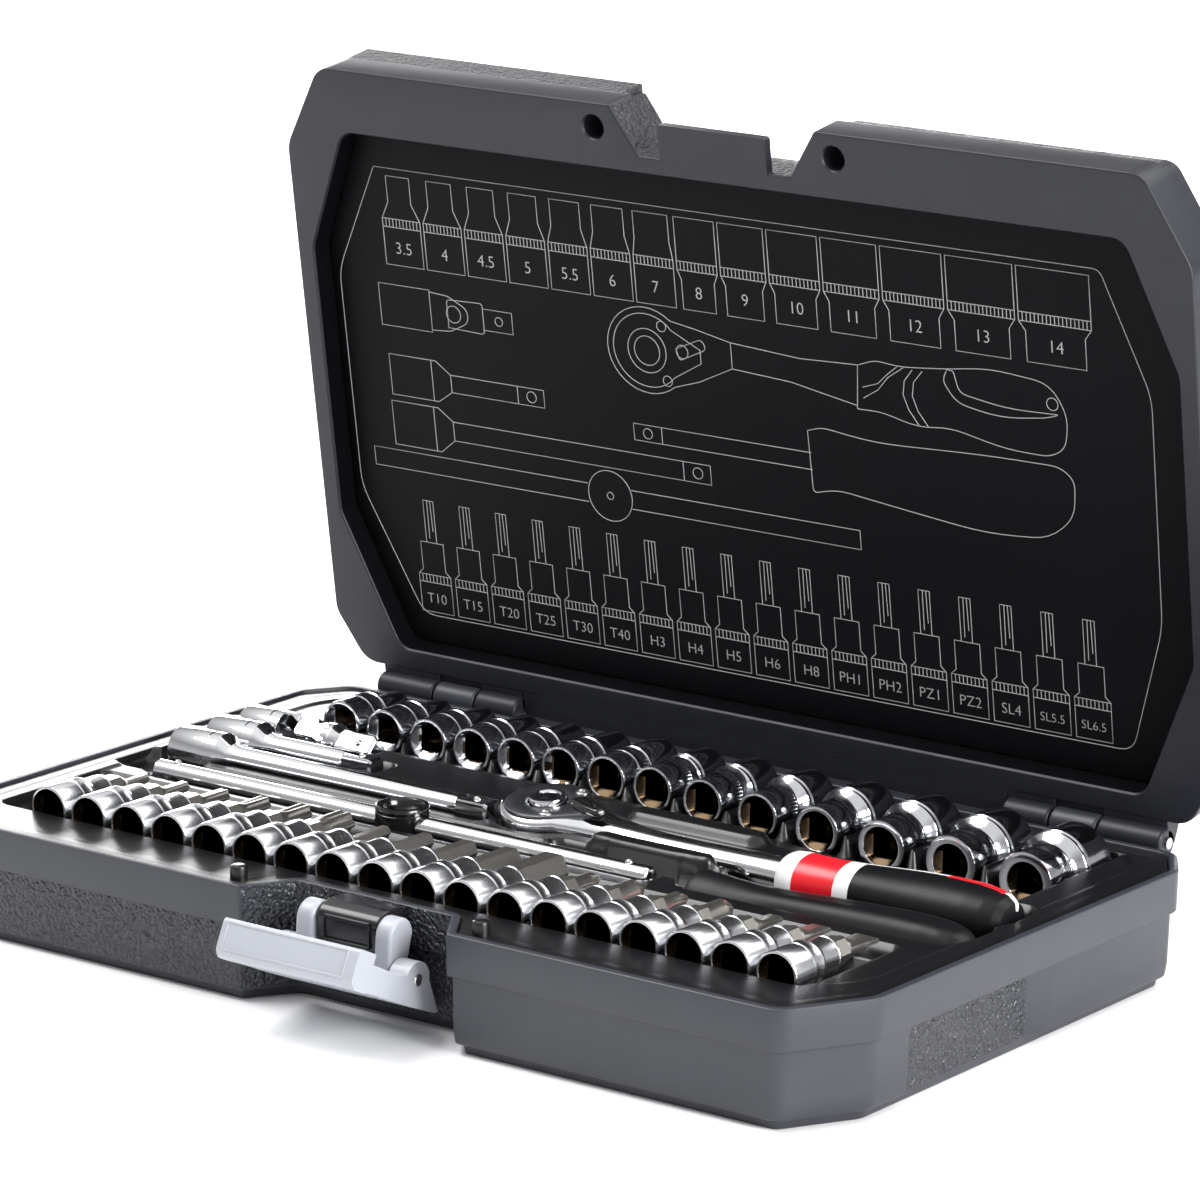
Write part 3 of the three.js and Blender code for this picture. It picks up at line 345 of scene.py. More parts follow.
# ---- materials
class Nodes:
    """Short calls for one material's node tree."""

    def __init__(self, name):
        self.material = bpy.data.materials.new(name)
        self.material.use_nodes = True
        self.tree = self.material.node_tree
        self.shader = self.tree.nodes["Principled BSDF"]
        coordinates = self.tree.nodes.new("ShaderNodeTexCoord")
        self.place = coordinates.outputs["Object"]

    def new(self, kind, **inputs):
        node = self.tree.nodes.new("ShaderNode" + kind)
        for key, value in inputs.items():
            node.inputs[key.replace("_", " ")].default_value = value
        return node

    def link(self, a, b):
        self.tree.links.new(a, b)

    def noise(self, scale, detail=3.0, rough=0.5, stretch=None):
        node = self.new("TexNoise", Scale=scale, Detail=detail, Roughness=rough)
        source = self.place
        if stretch:
            mapping = self.new("Mapping")
            mapping.inputs["Scale"].default_value = stretch
            self.link(self.place, mapping.inputs["Vector"])
            source = mapping.outputs["Vector"]
        self.link(source, node.inputs["Vector"])
        return node.outputs["Fac"]

    def spread(self, value, low, high):
        """Turns a 0 to 1 value into low to high."""
        node = self.new("MapRange")
        node.inputs["To Min"].default_value = low
        node.inputs["To Max"].default_value = high
        self.link(value, node.inputs["Value"])
        return node.outputs["Result"]

    def mix(self, value, first, second):
        node = self.new("Mix")
        node.data_type = "RGBA"
        node.inputs[6].default_value = (*first, 1)
        node.inputs[7].default_value = (*second, 1)
        self.link(value, node.inputs[0])
        return node.outputs[2]

    def bump(self, height, depth):
        node = self.new("Bump", Strength=1.0, Distance=depth * MM)
        self.link(height, node.inputs["Height"])
        return node.outputs["Normal"]


def plastic(name, colour, rough, mottled=0.12, fine=0.02, coat=0.0, specular=0.5, uneven=0.06):
    """A moulded plastic: faint mottling, uneven gloss and a fine spark-eroded skin."""
    n = Nodes(name)
    darker = [c * (1 - mottled) for c in colour]
    lighter = [c * (1 + mottled) for c in colour]
    n.link(n.mix(n.noise(90, 4), darker, lighter), n.shader.inputs["Base Color"])
    n.link(n.spread(n.noise(120, 3, 0.5), rough - uneven, rough + uneven), n.shader.inputs["Roughness"])
    n.link(n.bump(n.noise(2600, 2, 0.5), fine), n.shader.inputs["Normal"])
    n.shader.inputs["Specular IOR Level"].default_value = specular
    n.shader.inputs["Coat Weight"].default_value = coat
    n.shader.inputs["Coat Roughness"].default_value = 0.12
    return n.material


def grained(name, colour, rough, scale=760, depth=0.6):
    """The same plastic with a leather grain: cells warped by noise, parted by valleys. Its colour paints
    shade into the valleys and light on the cell tops.
    """
    n = Nodes(name)
    warp = n.new("TexNoise", Scale=scale * 0.5, Detail=2.0)
    n.link(n.place, warp.inputs["Vector"])
    add = n.new("VectorMath")
    add.operation = "MULTIPLY_ADD"
    n.link(warp.outputs["Color"], add.inputs[0])
    add.inputs[1].default_value = (0.0016, 0.0016, 0.0016)
    n.link(n.place, add.inputs[2])
    cells = n.new("TexVoronoi", Scale=scale)
    cells.feature = "SMOOTH_F1"
    n.link(add.outputs["Vector"], cells.inputs["Vector"])
    height = n.spread(cells.outputs["Distance"], 1.0, 0.0)
    # Painted shade in the grain's valleys and painted light on the cell tops, set by the bump's height.
    painted_valley_shade = [c * 0.3 for c in colour]
    light = [c * 1.3 for c in colour]
    n.link(n.mix(height, painted_valley_shade, light), n.shader.inputs["Base Color"])
    n.link(n.spread(n.noise(300, 3), rough - 0.05, rough + 0.1), n.shader.inputs["Roughness"])
    n.link(n.bump(height, depth), n.shader.inputs["Normal"])
    return n.material


def metal(name, colour, rough, uneven=0.05, brushed=None):
    """Plated or machined metal: uneven gloss, faint marks, and brushing along one way."""
    n = Nodes(name)
    tint = 0.06
    darker = [c * (1 - tint) for c in colour]
    lighter = [min(c * (1 + tint), 1) for c in colour]
    n.link(n.mix(n.noise(140, 3), darker, lighter), n.shader.inputs["Base Color"])
    marks = n.noise(420, 4, 0.6, brushed)
    n.link(n.spread(marks, max(rough - uneven, 0.02), rough + uneven), n.shader.inputs["Roughness"])
    n.link(n.bump(marks, 0.004), n.shader.inputs["Normal"])
    n.shader.inputs["Metallic"].default_value = 1.0
    return n.material


CASE_COLOUR = (0.026, 0.028, 0.036)
CASE = plastic("case_plastic", CASE_COLOUR, 0.40, fine=0.012)
CASE_GRAIN = grained("case_grain", CASE_COLOUR, 0.28, 1050, 1.1)
# The lid's plastic and grain are darker copies of the case's: painted shade for the lid, which the lamps
# light less than the base.
LID_CASE_SHADED = plastic("lid_plastic_shaded", (0.0135, 0.0145, 0.0195), 0.40, fine=0.010, specular=0.36)
LID_GRAIN_SHADED = grained("lid_grain_shaded", (0.022, 0.023, 0.028), 0.46, 1050, 1.1)
CASE_GLOSS = plastic("case_gloss", (0.012, 0.012, 0.014), 0.2, fine=0.004, uneven=0.03)
TRAY_PLASTIC = plastic("tray_plastic", (0.005, 0.005, 0.006), 0.30, fine=0.003, uneven=0.02)
PANEL = plastic("panel_black", (0.003, 0.003, 0.004), 0.48, fine=0.004, uneven=0.02, specular=0.08)
INK = plastic("printed_line", (0.36, 0.36, 0.37), 0.5, fine=0.004)
LATCH = plastic("latch_plastic", (0.37, 0.385, 0.42), 0.33, mottled=0.03, fine=0.006)
CHROME = metal("polished_chrome", (0.80, 0.81, 0.83), 0.09, 0.04)
SOCKET_CHROME = metal("socket_chrome", (0.60, 0.61, 0.64), 0.13, 0.05)
SATIN_CHROME = metal("satin_chrome", (0.72, 0.73, 0.75), 0.24, 0.07, (1, 14, 14))
# The bores' dark brown: the steel's own tint, darkened as painted shade for the unlit inside of the sockets.
BORE_TINT_AND_SHADE = metal("bore_steel_and_shade", (0.045, 0.031, 0.018), 0.2, 0.08)
BIT_STEEL = metal("bit_steel", (0.66, 0.63, 0.58), 0.30, 0.08, (20, 1, 20))
PLATE_STEEL = metal("plate_steel", (0.17, 0.175, 0.185), 0.36, 0.06)
PIN_STEEL = metal("pin_steel", (0.5, 0.5, 0.5), 0.3)
BLACK_OXIDE = plastic("black_oxide", (0.006, 0.006, 0.007), 0.16, fine=0.004, coat=0.4)
GRIP_BLACK = plastic("grip_black", (0.004, 0.004, 0.005), 0.40, fine=0.02, specular=0.24)
RED = plastic("red_plastic", (0.72, 0.012, 0.022), 0.30, mottled=0.04, fine=0.004)
WHITE = plastic("white_plastic", (0.82, 0.82, 0.82), 0.30, mottled=0.02, fine=0.004)
LEVER_BLACK = plastic("lever_black", (0.008, 0.008, 0.008), 0.14, fine=0.004, coat=0.5)

# ---- the case's driving sizes
BASE_LOW, BASE_HIGH = cad_box("case_base")
HALF_WIDTH = BASE_HIGH.x
FRONT = BASE_LOW.y
REAR = -FRONT
HINGE = joint_point("lid_hinge")
RIM = HINGE.z
LID_OPEN = math.radians(-JOINTS["lid_hinge"]["range_deg"][0])
# The band round each shell's rim, and how far it stands out from the wall.
BAND_HEIGHT = 10.3
BAND_PROUD = 1.6
FOOT_HEIGHT = 2.6
FLOOR = 3.2
RIM_WIDTH = 4.6
LID_HEIGHT = 20.5
RUNNING_GAP = 0.35
TRAY_TOP = RIM - 0.7
PANEL_DEPTH = 6.4
NOTCH = {"mouth": 30.6, "floor": 22.7, "depth": 12.4}
# The tray's two pegs, which enter the lid's holes.
PEG = {"side": 35.8, "y": REAR - 158.6}


def case_corners():
    """The case's plan: chamfered corners, and the latch's notch in the front."""
    w, f, r = HALF_WIDTH, FRONT, REAR
    notch = [(-NOTCH["mouth"], f, 1.2), (-NOTCH["floor"], f + NOTCH["depth"], 1.5),
             (NOTCH["floor"], f + NOTCH["depth"], 1.5), (NOTCH["mouth"], f, 1.2)]
    return [(-w + 12.5, f, 7)] + notch + [
        (w - 12.5, f, 7), (w, f + 22, 9), (w, r - 13.5, 7), (w - 8.5, r, 7),
        (-w + 8.5, r, 7), (-w, r - 13.5, 7), (-w, f + 22, 9)]


LID_SWING = (Matrix.Translation(HINGE) @ Matrix.Rotation(-LID_OPEN, 4, "X")
             @ Matrix.Translation(-HINGE))


def paint_faces(thing, slot, test):
    """Gives a material slot to the faces whose centre, in millimetres, and normal pass the test."""
    for face in thing.data.polygons:
        if test(face.center / MM, face.normal):
            face.material_index = slot


def knuckle(x0, x1, arm):
    """A hinge knuckle: its barrel, and the arm that joins it to its shell."""
    barrel = turned([(0, 2.6), (0, 3.3), (0.5, 3.8), (x1 - x0 - 0.5, 3.8), (x1 - x0, 3.3), (x1 - x0, 2.6)],
                    Vector((x0, HINGE.y, HINGE.z)), X_AXIS, 32)
    return [barrel, side_view(arm, x0, x1)]


# ---- case base
KNUCKLES = {"inner": 75, "middle": (88.3, 102.3), "outer": 120.5}
RAIL_HALF = KNUCKLES["inner"] - 0.6
GRAIN_RECESS = {"front": -45.5, "rear": 7.9, "slope_end": 17, "depth": 2.6}


def build_base():
    band_low = RIM - BAND_HEIGHT
    foot = BAND_PROUD + 3
    ledge = TRAY_TOP - 2.2
    profile = rounded_line([
        (14, 0, 0), (foot, 0, 0.8), (foot - 0.4, FOOT_HEIGHT, 0.3), (BAND_PROUD + 0.8, FOOT_HEIGHT, 0.8),
        (BAND_PROUD + 0.3, 6, 1), (BAND_PROUD, band_low - 0.1, 0.3), (0.15, band_low, 0.5),
        (0, RIM, 0.55), (2.2, RIM, 0.4), (2.3, ledge, 0.2), (RIM_WIDTH, ledge, 0.2),
        (RIM_WIDTH, FLOOR, 1), (14, FLOOR, 0),
    ])
    base = Shape(raised(case_corners(), profile)).object("base_shell")
    give(base, CASE, CASE_GRAIN)
    # The sunk, grained panel in the right and left ends.
    panel = GRAIN_RECESS
    grain_x = HALF_WIDTH - BAND_PROUD - panel["depth"]
    # The sloped end meets the wall's outside at slope_end.
    slope = (panel["slope_end"] - panel["rear"]) / panel["depth"]
    slope_out = panel["rear"] + slope * (panel["depth"] + BAND_PROUD + 2)
    for side in (-1, 1):
        outer, inner = side * (HALF_WIDTH + 2), side * grain_x
        plan = [(outer, panel["front"]), (outer, slope_out), (inner, panel["rear"]), (inner, panel["front"])]
        cut(base, prism(plan, -1, band_low))
    # Grain in the two recesses, on the front wall left of the notch, and on the notch's walls.
    paint_faces(base, 1, lambda c, n: abs(abs(c.x) - grain_x) < 0.3 and abs(n.x) > 0.9
                and panel["front"] - 1 < c.y < panel["rear"] + 1 and 5 < c.z < band_low)
    paint_faces(base, 1, lambda c, n: c.z < band_low and n.y < -0.8 and c.x < -NOTCH["mouth"]
                and c.y < FRONT + 4 and c.x > -HALF_WIDTH + 14)
    paint_faces(base, 1, lambda c, n: abs(c.x) < NOTCH["mouth"] + 1 and c.y > FRONT + 1.5
                and c.y < FRONT + 16 and abs(n.z) < 0.3 and c.z > 3)
    extras = Shape()
    # The boss that the latch hangs from, with a sunk panel in its face.
    boss_front, boss_back = FRONT + 2, FRONT + 15
    boss = rounded_line([(boss_back, 16.5, 0), (boss_front + 0.4, 19.5, 1), (boss_front, 27.2, 2.4),
                         (boss_front + 3.6, RIM - 0.2, 3), (boss_back, RIM - 0.5, 0)], 5)
    extras.add(side_view(boss, -8.8, 8.8), 1)
    rail = rounded_line([(REAR - 1, RIM - 8, 0), (REAR + 4.2, RIM - 4, 0.8), (REAR + 4.2, RIM - 0.3, 0.6),
                         (REAR - 1, RIM - 0.3, 0)])
    extras.add(side_view(rail, -RAIL_HALF, RAIL_HALF))
    arm = rounded_line([(REAR - 1, RIM - 9, 0), (HINGE.y + 1.6, RIM - 3.4, 1), (HINGE.y, RIM - 0.5, 0.5),
                        (REAR - 1, RIM - 0.6, 0)])
    inner, outer = KNUCKLES["middle"]
    x0, x1 = inner + RUNNING_GAP, outer - RUNNING_GAP
    for x0, x1 in ((x0, x1), (-x1, -x0)):
        extras.add_all(knuckle(x0, x1, arm))
    extra = extras.object("base_extras")
    soften(extra, 0.45, 3)
    finish_piece(extra, "case", (), [CASE, CASE_GLOSS])
    finish_piece(base, "case", ("case_base",))
    # Two level bars and two upright ones make the rim of the boss's panel.
    near, far, thick = boss_front - 0.35, boss_front + 1, 0.6
    low, high, half = 20.6, 26.8, 7
    bars = [(-half, low, half, low + thick), (-half, high - thick, half, high),
            (-half, low, thick - half, high), (half - thick, low, half, high)]
    rim = Shape(*(slab((x0, near, z0), (x1, far, z1)) for x0, z0, x1, z1 in bars)).object("boss_panel_rim")
    soften(rim, 0.12, 2)
    finish_piece(rim, "case", (), [CASE_GLOSS])


# ---- lid
OPENING = {"half": 129.8, "rear": 5.9, "front": 148.0}
TAB_HALF = 16
TAB_THICK = 2.4


def opening_corners():
    half = OPENING["half"]
    rear = REAR - OPENING["rear"]
    front = REAR - OPENING["front"]
    return [(-half + 13.4, front, 5), (half - 13.4, front, 5), (half, front + 32.4, 8),
            (half, rear - 36.2, 8), (half - 15.7, rear, 5), (-half + 15.7, rear, 5),
            (-half, rear - 36.2, 8), (-half, front + 32.4, 8)]


def build_lid():
    rim = RIM + RUNNING_GAP
    top = RIM + LID_HEIGHT
    outside = rounded_line([
        (12, rim, 0), (0, rim, 0.6), (0, rim + BAND_HEIGHT, 0.6), (BAND_PROUD, rim + BAND_HEIGHT, 0.3),
        (BAND_PROUD + 0.5, top - 2.6, 0.8), (4.4, top, 1.6), (13, top, 0),
    ], 4)
    lid = Shape(raised(case_corners(), outside, 6)).object("lid_shell")
    give(lid, LID_CASE_SHADED, LID_GRAIN_SHADED, PANEL)
    tab_floor = FRONT + NOTCH["depth"] + 2.5
    tab = [(-TAB_HALF, tab_floor, 0.1), (-TAB_HALF, FRONT + 3.6, 0.8), (TAB_HALF, FRONT + 3.6, 0.8),
           (TAB_HALF, tab_floor, 0.1)]
    cut(lid, prism(outline(tab, 0, 4), rim, rim + TAB_THICK), "UNION")
    step = rounded_line([(-2, rim - 1, 0), (-0.5, rim - 0.02, 0.1), (0, rim + 0.5, 0.3),
                         (0.1, rim + PANEL_DEPTH + 0.6, 0), (20, rim + PANEL_DEPTH + 0.6, 0)], 3)
    cut(lid, raised(opening_corners(), step, 6))
    for side in (-1, 1):
        place = Vector((side * PEG["side"], PEG["y"], rim))
        cut(lid, turned([(-1, 3.6), (0, 3.45), (0.5, 3.1), (7, 3.0)], place, Z_AXIS, 40))
    # Grain on the notch's walls and on the front wall above the band. The opening's walls get the panel's
    # near-black as painted shade.
    notch_top = rim + BAND_HEIGHT
    paint_faces(lid, 1, lambda c, n: abs(c.x) < NOTCH["mouth"] + 2 and FRONT + 0.8 < c.y < FRONT + 17
                and abs(n.z) < 0.5 and c.z > rim + 3)
    paint_faces(lid, 1, lambda c, n: n.y < -0.8 and c.z > notch_top and c.y < FRONT + 6)
    paint_faces(lid, 2, lambda c, n: c.z > rim + 0.6 and c.z < rim + 8 and abs(c.x) < OPENING["half"] + 0.5
                and REAR - OPENING["front"] - 0.5 < c.y < REAR - OPENING["rear"] + 0.5)
    extras = Shape()
    # A pad with a leather grain stands flush with the band, left of the notch.
    left, right = -120.5, -NOTCH["mouth"] - 2.5
    near, far = FRONT + 0.2, FRONT + 5
    pad = [(left, near, 0.5), (right, near, 0.5), (right, far, 0.2), (left, far, 0.2)]
    extras.add(prism(outline(pad, 0, 3), notch_top - 0.3, top - 1.6), 1)
    arm = rounded_line([(REAR - 1, RIM + 0.6, 0), (HINGE.y, RIM + 0.5, 0.5), (HINGE.y + 1.6, RIM + 3.4, 1),
                        (REAR - 1, RIM + 8, 0)])
    # The rib along the lid's rear edge closes the gap above the base's rail.
    rib_end = HINGE.y + 1.5
    rib = rounded_line([(REAR - 1, RIM + 0.5, 0), (rib_end, RIM + 0.5, 0.4), (rib_end, RIM + 3.6, 0.8),
                        (REAR - 1, RIM + 4.4, 0)])
    inner, outer = KNUCKLES["middle"]
    extras.add(side_view(rib, -RAIL_HALF, RAIL_HALF))
    raised_rib = [(y, z + 0.9) for y, z in rib]
    for x0, x1 in ((inner - 0.2, outer + 0.2), (-outer - 0.2, -inner + 0.2)):
        extras.add(side_view(raised_rib, x0, x1))
    for x0, x1 in ((KNUCKLES["inner"], inner), (outer, KNUCKLES["outer"])):
        extras.add_all(knuckle(x0, x1, arm) + knuckle(-x1, -x0, arm))
    extra = extras.object("lid_extras")
    soften(extra, 0.4, 3)
    for thing, nodes, materials in ((lid, ("case_lid",), ()), (extra, (), (LID_CASE_SHADED, LID_GRAIN_SHADED))):
        move(thing, LID_SWING)
        finish_piece(thing, "lid", nodes, materials)


build_base()
build_lid()


# ---- lid panel and its drawing
class Drawing:
    """Thin printed lines on the lid's panel. Across is from the middle, up is from the hinge's edge."""

    def __init__(self):
        self.lines = []
        self.height = RIM + RUNNING_GAP + PANEL_DEPTH - 0.06

    def place(self, across, up):
        return LID_SWING @ Vector((across, REAR - up, self.height))

    def line(self, points, closed=True):
        self.lines.append(([self.place(a, b) for a, b in points], closed))

    def box(self, a0, b0, a1, b1):
        self.line([(a0, b0), (a1, b0), (a1, b1), (a0, b1)])

    def ring(self, across, up, radius, steps=28):
        self.line([(across + radius * math.cos(TAU * k / steps), up + radius * math.sin(TAU * k / steps))
                   for k in range(steps)])

    def curve(self, points):
        """A closed line with rounded corners; points are (across, up, radius)."""
        self.line([tuple(p) for p in rounded_line(points + [points[0]], 4)][:-1])

    def build(self, name, thick):
        data = bpy.data.curves.new(name, "CURVE")
        data.dimensions = "3D"
        data.bevel_depth = thick * MM
        data.bevel_resolution = 1
        data.use_fill_caps = True
        for points, closed in self.lines:
            spline = data.splines.new("POLY")
            spline.points.add(len(points) - 1)
            for target, point in zip(spline.points, points):
                target.co = (*(point * MM), 1)
            spline.use_cyclic_u = closed
        thing = linked(name, data)
        give(thing, INK)
        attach(thing, "lid")
        return thing


SOCKET_SIZES = [3.5, 4, 4.5, 5, 5.5, 6, 7, 8, 9, 10, 11, 12, 13, 14]
BIT_NAMES = ["T10", "T15", "T20", "T25", "T30", "T40", "H3", "H4", "H5", "H6", "H8",
             "PH1", "PH2", "PZ1", "PZ2", "SL4", "SL5.5", "SL6.5"]


def node_label(size):
    return str(size).replace(".", "_")


def draw_sockets(pen, labels):
    top, bottom = 135.6, 111.4
    band_high, band_low = 124.0, 121.7
    left = -111.0
    for size in SOCKET_SIZES:
        wide = 12.2 + 1.37 * max(0, size - 8)
        centre = left + wide / 2
        left += wide + 1.07
        large = size >= 8
        head = wide if large else 7.5 + 0.9 * (size - 3.5)
        foot = 0.82 * wide if large else wide
        right = [(head, top), (head, 128.5), (wide, band_high), (wide, band_low), (foot, band_low - 2.5),
                 (foot, bottom)]
        pen.line([(centre + w / 2, up) for w, up in right] + [(centre - w / 2, up) for w, up in right[::-1]])
        for height in (band_high, band_low):
            pen.line([(centre - wide / 2, height), (centre + wide / 2, height)], False)
        ridges = int(wide / 1.1)
        for k in range(1, ridges):
            across = centre - wide / 2 + wide * k / ridges
            pen.line([(across, band_low), (across, band_high)], False)
        labels.append((str(size), centre, 114.6, 3.4))


def draw_bits(pen, labels):
    for i, name in enumerate(BIT_NAMES):
        centre = -105.2 + 11.9 * i
        half = 5.2
        pen.box(centre - half, 15, centre + half, 25.6)
        pen.line([(centre - half, 25.6), (centre - 3.7, 27), (centre - 3.7, 34.8), (centre + 3.7, 34.8),
                  (centre + 3.7, 27), (centre + half, 25.6)], False)
        pen.line([(centre - half, 23.4), (centre + half, 23.4)], False)
        for k in range(1, 9):
            across = centre - half + 2 * half * k / 9
            pen.line([(across, 23.4), (across, 25.6)], False)
        pen.line([(centre - 1.65, 34.8), (centre - 1.65, 46.6), (centre + 1.65, 46.6),
                  (centre + 1.65, 34.8)], False)
        pen.line([(centre - 0.5, 36), (centre - 0.4, 46.6)], False)
        pen.line([(centre + 0.8, 38), (centre + 0.6, 46.6)], False)
        labels.append((name, centre, 17.6, 3.0 if len(name) < 4 else 2.5))


def draw_tools(pen):
    # Universal joint.
    pen.box(-114.5, 94.4, -98, 105.9)
    pen.curve([(-98, 95, 0.2), (-92, 95.4, 1), (-86, 98.4, 2), (-86, 102, 2), (-92, 105, 1),
               (-98, 105.4, 0.2)])
    pen.ring(-90.6, 100.2, 2.3)
    pen.curve([(-92.5, 96.4, 1), (-81, 96, 1), (-81, 104.4, 1), (-92.5, 104, 1)])
    pen.box(-81, 97.2, -71.7, 103)
    pen.ring(-76, 100.1, 1.2, 14)
    # The two extension bars.
    for left, right, top, bottom, shaft_top, shaft_bottom in (
            (-113.3, -63.6, 86.5, 75.3, 83.2, 78.4), (-113.9, -12.7, 73.5, 61.3, 70.2, 65.0)):
        neck = left + 15.2
        pen.line([(left, top), (neck, top), (neck + 4.6, shaft_top), (right, shaft_top),
                  (right, shaft_bottom), (neck + 4.6, shaft_bottom), (neck, bottom), (left, bottom)])
        pen.line([(neck - 1.5, top), (neck - 1.5, bottom)], False)
        pen.line([(neck + 4.6, shaft_top), (neck + 4.6, shaft_bottom)], False)
        pen.line([(right - 8.4, shaft_top), (right - 8.4, shaft_bottom)], False)
        pen.ring(right - 4, (shaft_top + shaft_bottom) / 2, 1.5, 16)
    # T-bar.
    pen.line([(-52, 54.6), (-121.3, 54.6), (-121.3, 59.7), (-52, 59.7)], False)
    pen.line([(-38.2, 59.7), (31.7, 59.7), (31.7, 54.6), (-38.2, 54.6)], False)
    pen.ring(-45, 57.2, 6.9)
    pen.ring(-45, 57.2, 1.0, 12)
    # Spinner handle.
    pen.line([(18.7, 78.4), (-35.7, 78.4), (-35.7, 73.9), (18.7, 73.9)], False)
    pen.line([(-27, 78.4), (-27, 73.9)], False)
    pen.ring(-31.4, 76.1, 1.4, 14)
    pen.curve([(18, 84.2, 2), (18.5, 67.7, 1.5), (25.8, 69.6, 5), (42.3, 67.7, 9), (69.4, 64.8, 9),
               (87.4, 66.3, 6), (94.9, 72.9, 4), (95.5, 82.6, 4), (91.3, 85.5, 3), (70.8, 85.4, 9),
               (38, 83.8, 9), (22.4, 85.6, 3)])
    # Ratchet.
    def head(wide, high, first, last):
        return [(-29.5 + wide * math.cos(TAU * k / 36), 98.8 + high * math.sin(TAU * k / 36))
                for k in range(first, last)]

    pen.line(head(12.2, 11.5, 5, 32) + [(-14, 92.4), (-3.5, 97.4), (-3.5, 104.3), (-14, 106.4)])
    pen.line(head(10.4, 9.8, 4, 33) + [(-13, 97.4), (-13, 101)])
    pen.ring(-29.5, 98.7, 5.9)
    pen.ring(-29.5, 98.7, 3.9)
    for across, up in ((-24.5, 105.8), (-23.8, 91.3)):
        pen.ring(across, up, 1.4, 14)
    pen.curve([(-20.5, 100.4, 1), (-19.5, 97.4, 1), (-11, 101.4, 1.4), (-12.4, 104, 1.4)])
    pen.ring(-18.6, 99.8, 1.8, 16)
    pen.line([(-3.5, 104.3), (17.3, 103), (34.4, 103.7)], False)
    pen.line([(-3.5, 97.4), (14, 96.4), (33.5, 93)], False)
    pen.curve([(34.4, 103.7, 0.5), (39.7, 105.6, 2), (46.9, 104.9, 3), (60.6, 106.2, 6), (72.4, 108.1, 8),
               (90, 106.6, 5), (94.7, 98.5, 4), (93.3, 90.3, 3), (88.8, 87.7, 3), (76.4, 87.8, 8),
               (60.4, 91.1, 8), (51.3, 89.8, 5), (40.5, 92.3, 3), (33.5, 92.1, 0.5)])
    # The collar's arcs, the band's edges, the window in the moulding and the hole at the end.
    for shift in (0, 1.8):
        pen.line([(35.5, 98.1 - 1.6 * shift), (40, 99.6 - 0.9 * shift), (43.1, 102.5 - 0.5 * shift),
                  (46 + shift, 104.8)], False)
        pen.line([(53.3 - 1.6 * shift, 104.6), (50.6 - 1.5 * shift, 101.4), (50 - 1.5 * shift, 97.8),
                  (51.4 - 1.5 * shift, 94), (54.1 - 1.5 * shift, 90.4)], False)
    pen.curve([(60.6, 106.2, 1), (59.1, 103.1, 1.5), (62.7, 97.9, 3), (75.1, 95.7, 6), (88.5, 97.6, 3),
               (92.1, 98.9, 1), (77.1, 98.4, 6), (63.8, 100.5, 2), (62.4, 105.9, 0.5)])
    pen.ring(90.3, 101.4, 1.6, 18)


def build_labels(labels):
    """The generic size of each socket and bit, printed on the panel."""
    joined = bmesh.new()
    for text, across, up, height in labels:
        curve = bpy.data.curves.new("label", "FONT")
        curve.body = text
        curve.size = height * 1.36
        curve.align_x = "CENTER"
        curve.extrude = 0.035
        curve.offset = -0.07
        curve.resolution_u = 3
        thing = linked("label", curve)
        bpy.context.view_layer.update()
        depsgraph = bpy.context.evaluated_depsgraph_get()
        mesh = bpy.data.meshes.new_from_object(thing.evaluated_get(depsgraph))
        # The panel is read from below when the lid is shut, so its up is the frame's -Y.
        turn = Matrix.Translation(Vector((across, REAR - up, RIM + RUNNING_GAP + PANEL_DEPTH - 0.05)))
        mesh.transform(TO_METRES @ LID_SWING @ turn @ Matrix.Rotation(math.pi, 4, "X"))
        joined.from_mesh(mesh)
        bpy.data.meshes.remove(mesh)
        bpy.data.objects.remove(thing)
        bpy.data.curves.remove(curve)
    mesh = bpy.data.meshes.new("lid_labels")
    joined.to_mesh(mesh)
    joined.free()
    finish_piece(linked("lid_labels", mesh), "lid", (), [INK])


def build_panel():
    low = RIM + RUNNING_GAP + PANEL_DEPTH
    profile = rounded_line([(8, low, 0), (0.45, low, 0.3), (0.45, low + 1.8, 0.3), (8, low + 1.8, 0)])
    panel = Shape(raised(opening_corners(), profile, 6)).object("panel_plate")
    move(panel, LID_SWING)
    finish_piece(panel, "lid", ("lid_panel",), [PANEL])
    pen = Drawing()
    labels = []
    pen.curve([(-112.3, 137.7, 2), (-127, 107.9, 4), (-126.9, 48, 4), (-110, 14, 4), (108, 14, 4),
               (118, 48, 4), (118.3, 107, 4), (105.5, 137.5, 2)])
    draw_sockets(pen, labels)
    draw_bits(pen, labels)
    draw_tools(pen)
    pen.build("lid_drawing", 0.11)
    build_labels(labels)


build_panel()


# ---- latch
LINK_PIVOT = joint_point("latch_link_pivot")
LEVER_PIVOT = joint_point("latch_lever_pivot")
LEVER_HANG = math.radians(25.3)
LEVER = {"length": 36, "heel": 11.2, "pivot_height": 5.9, "half": 20}


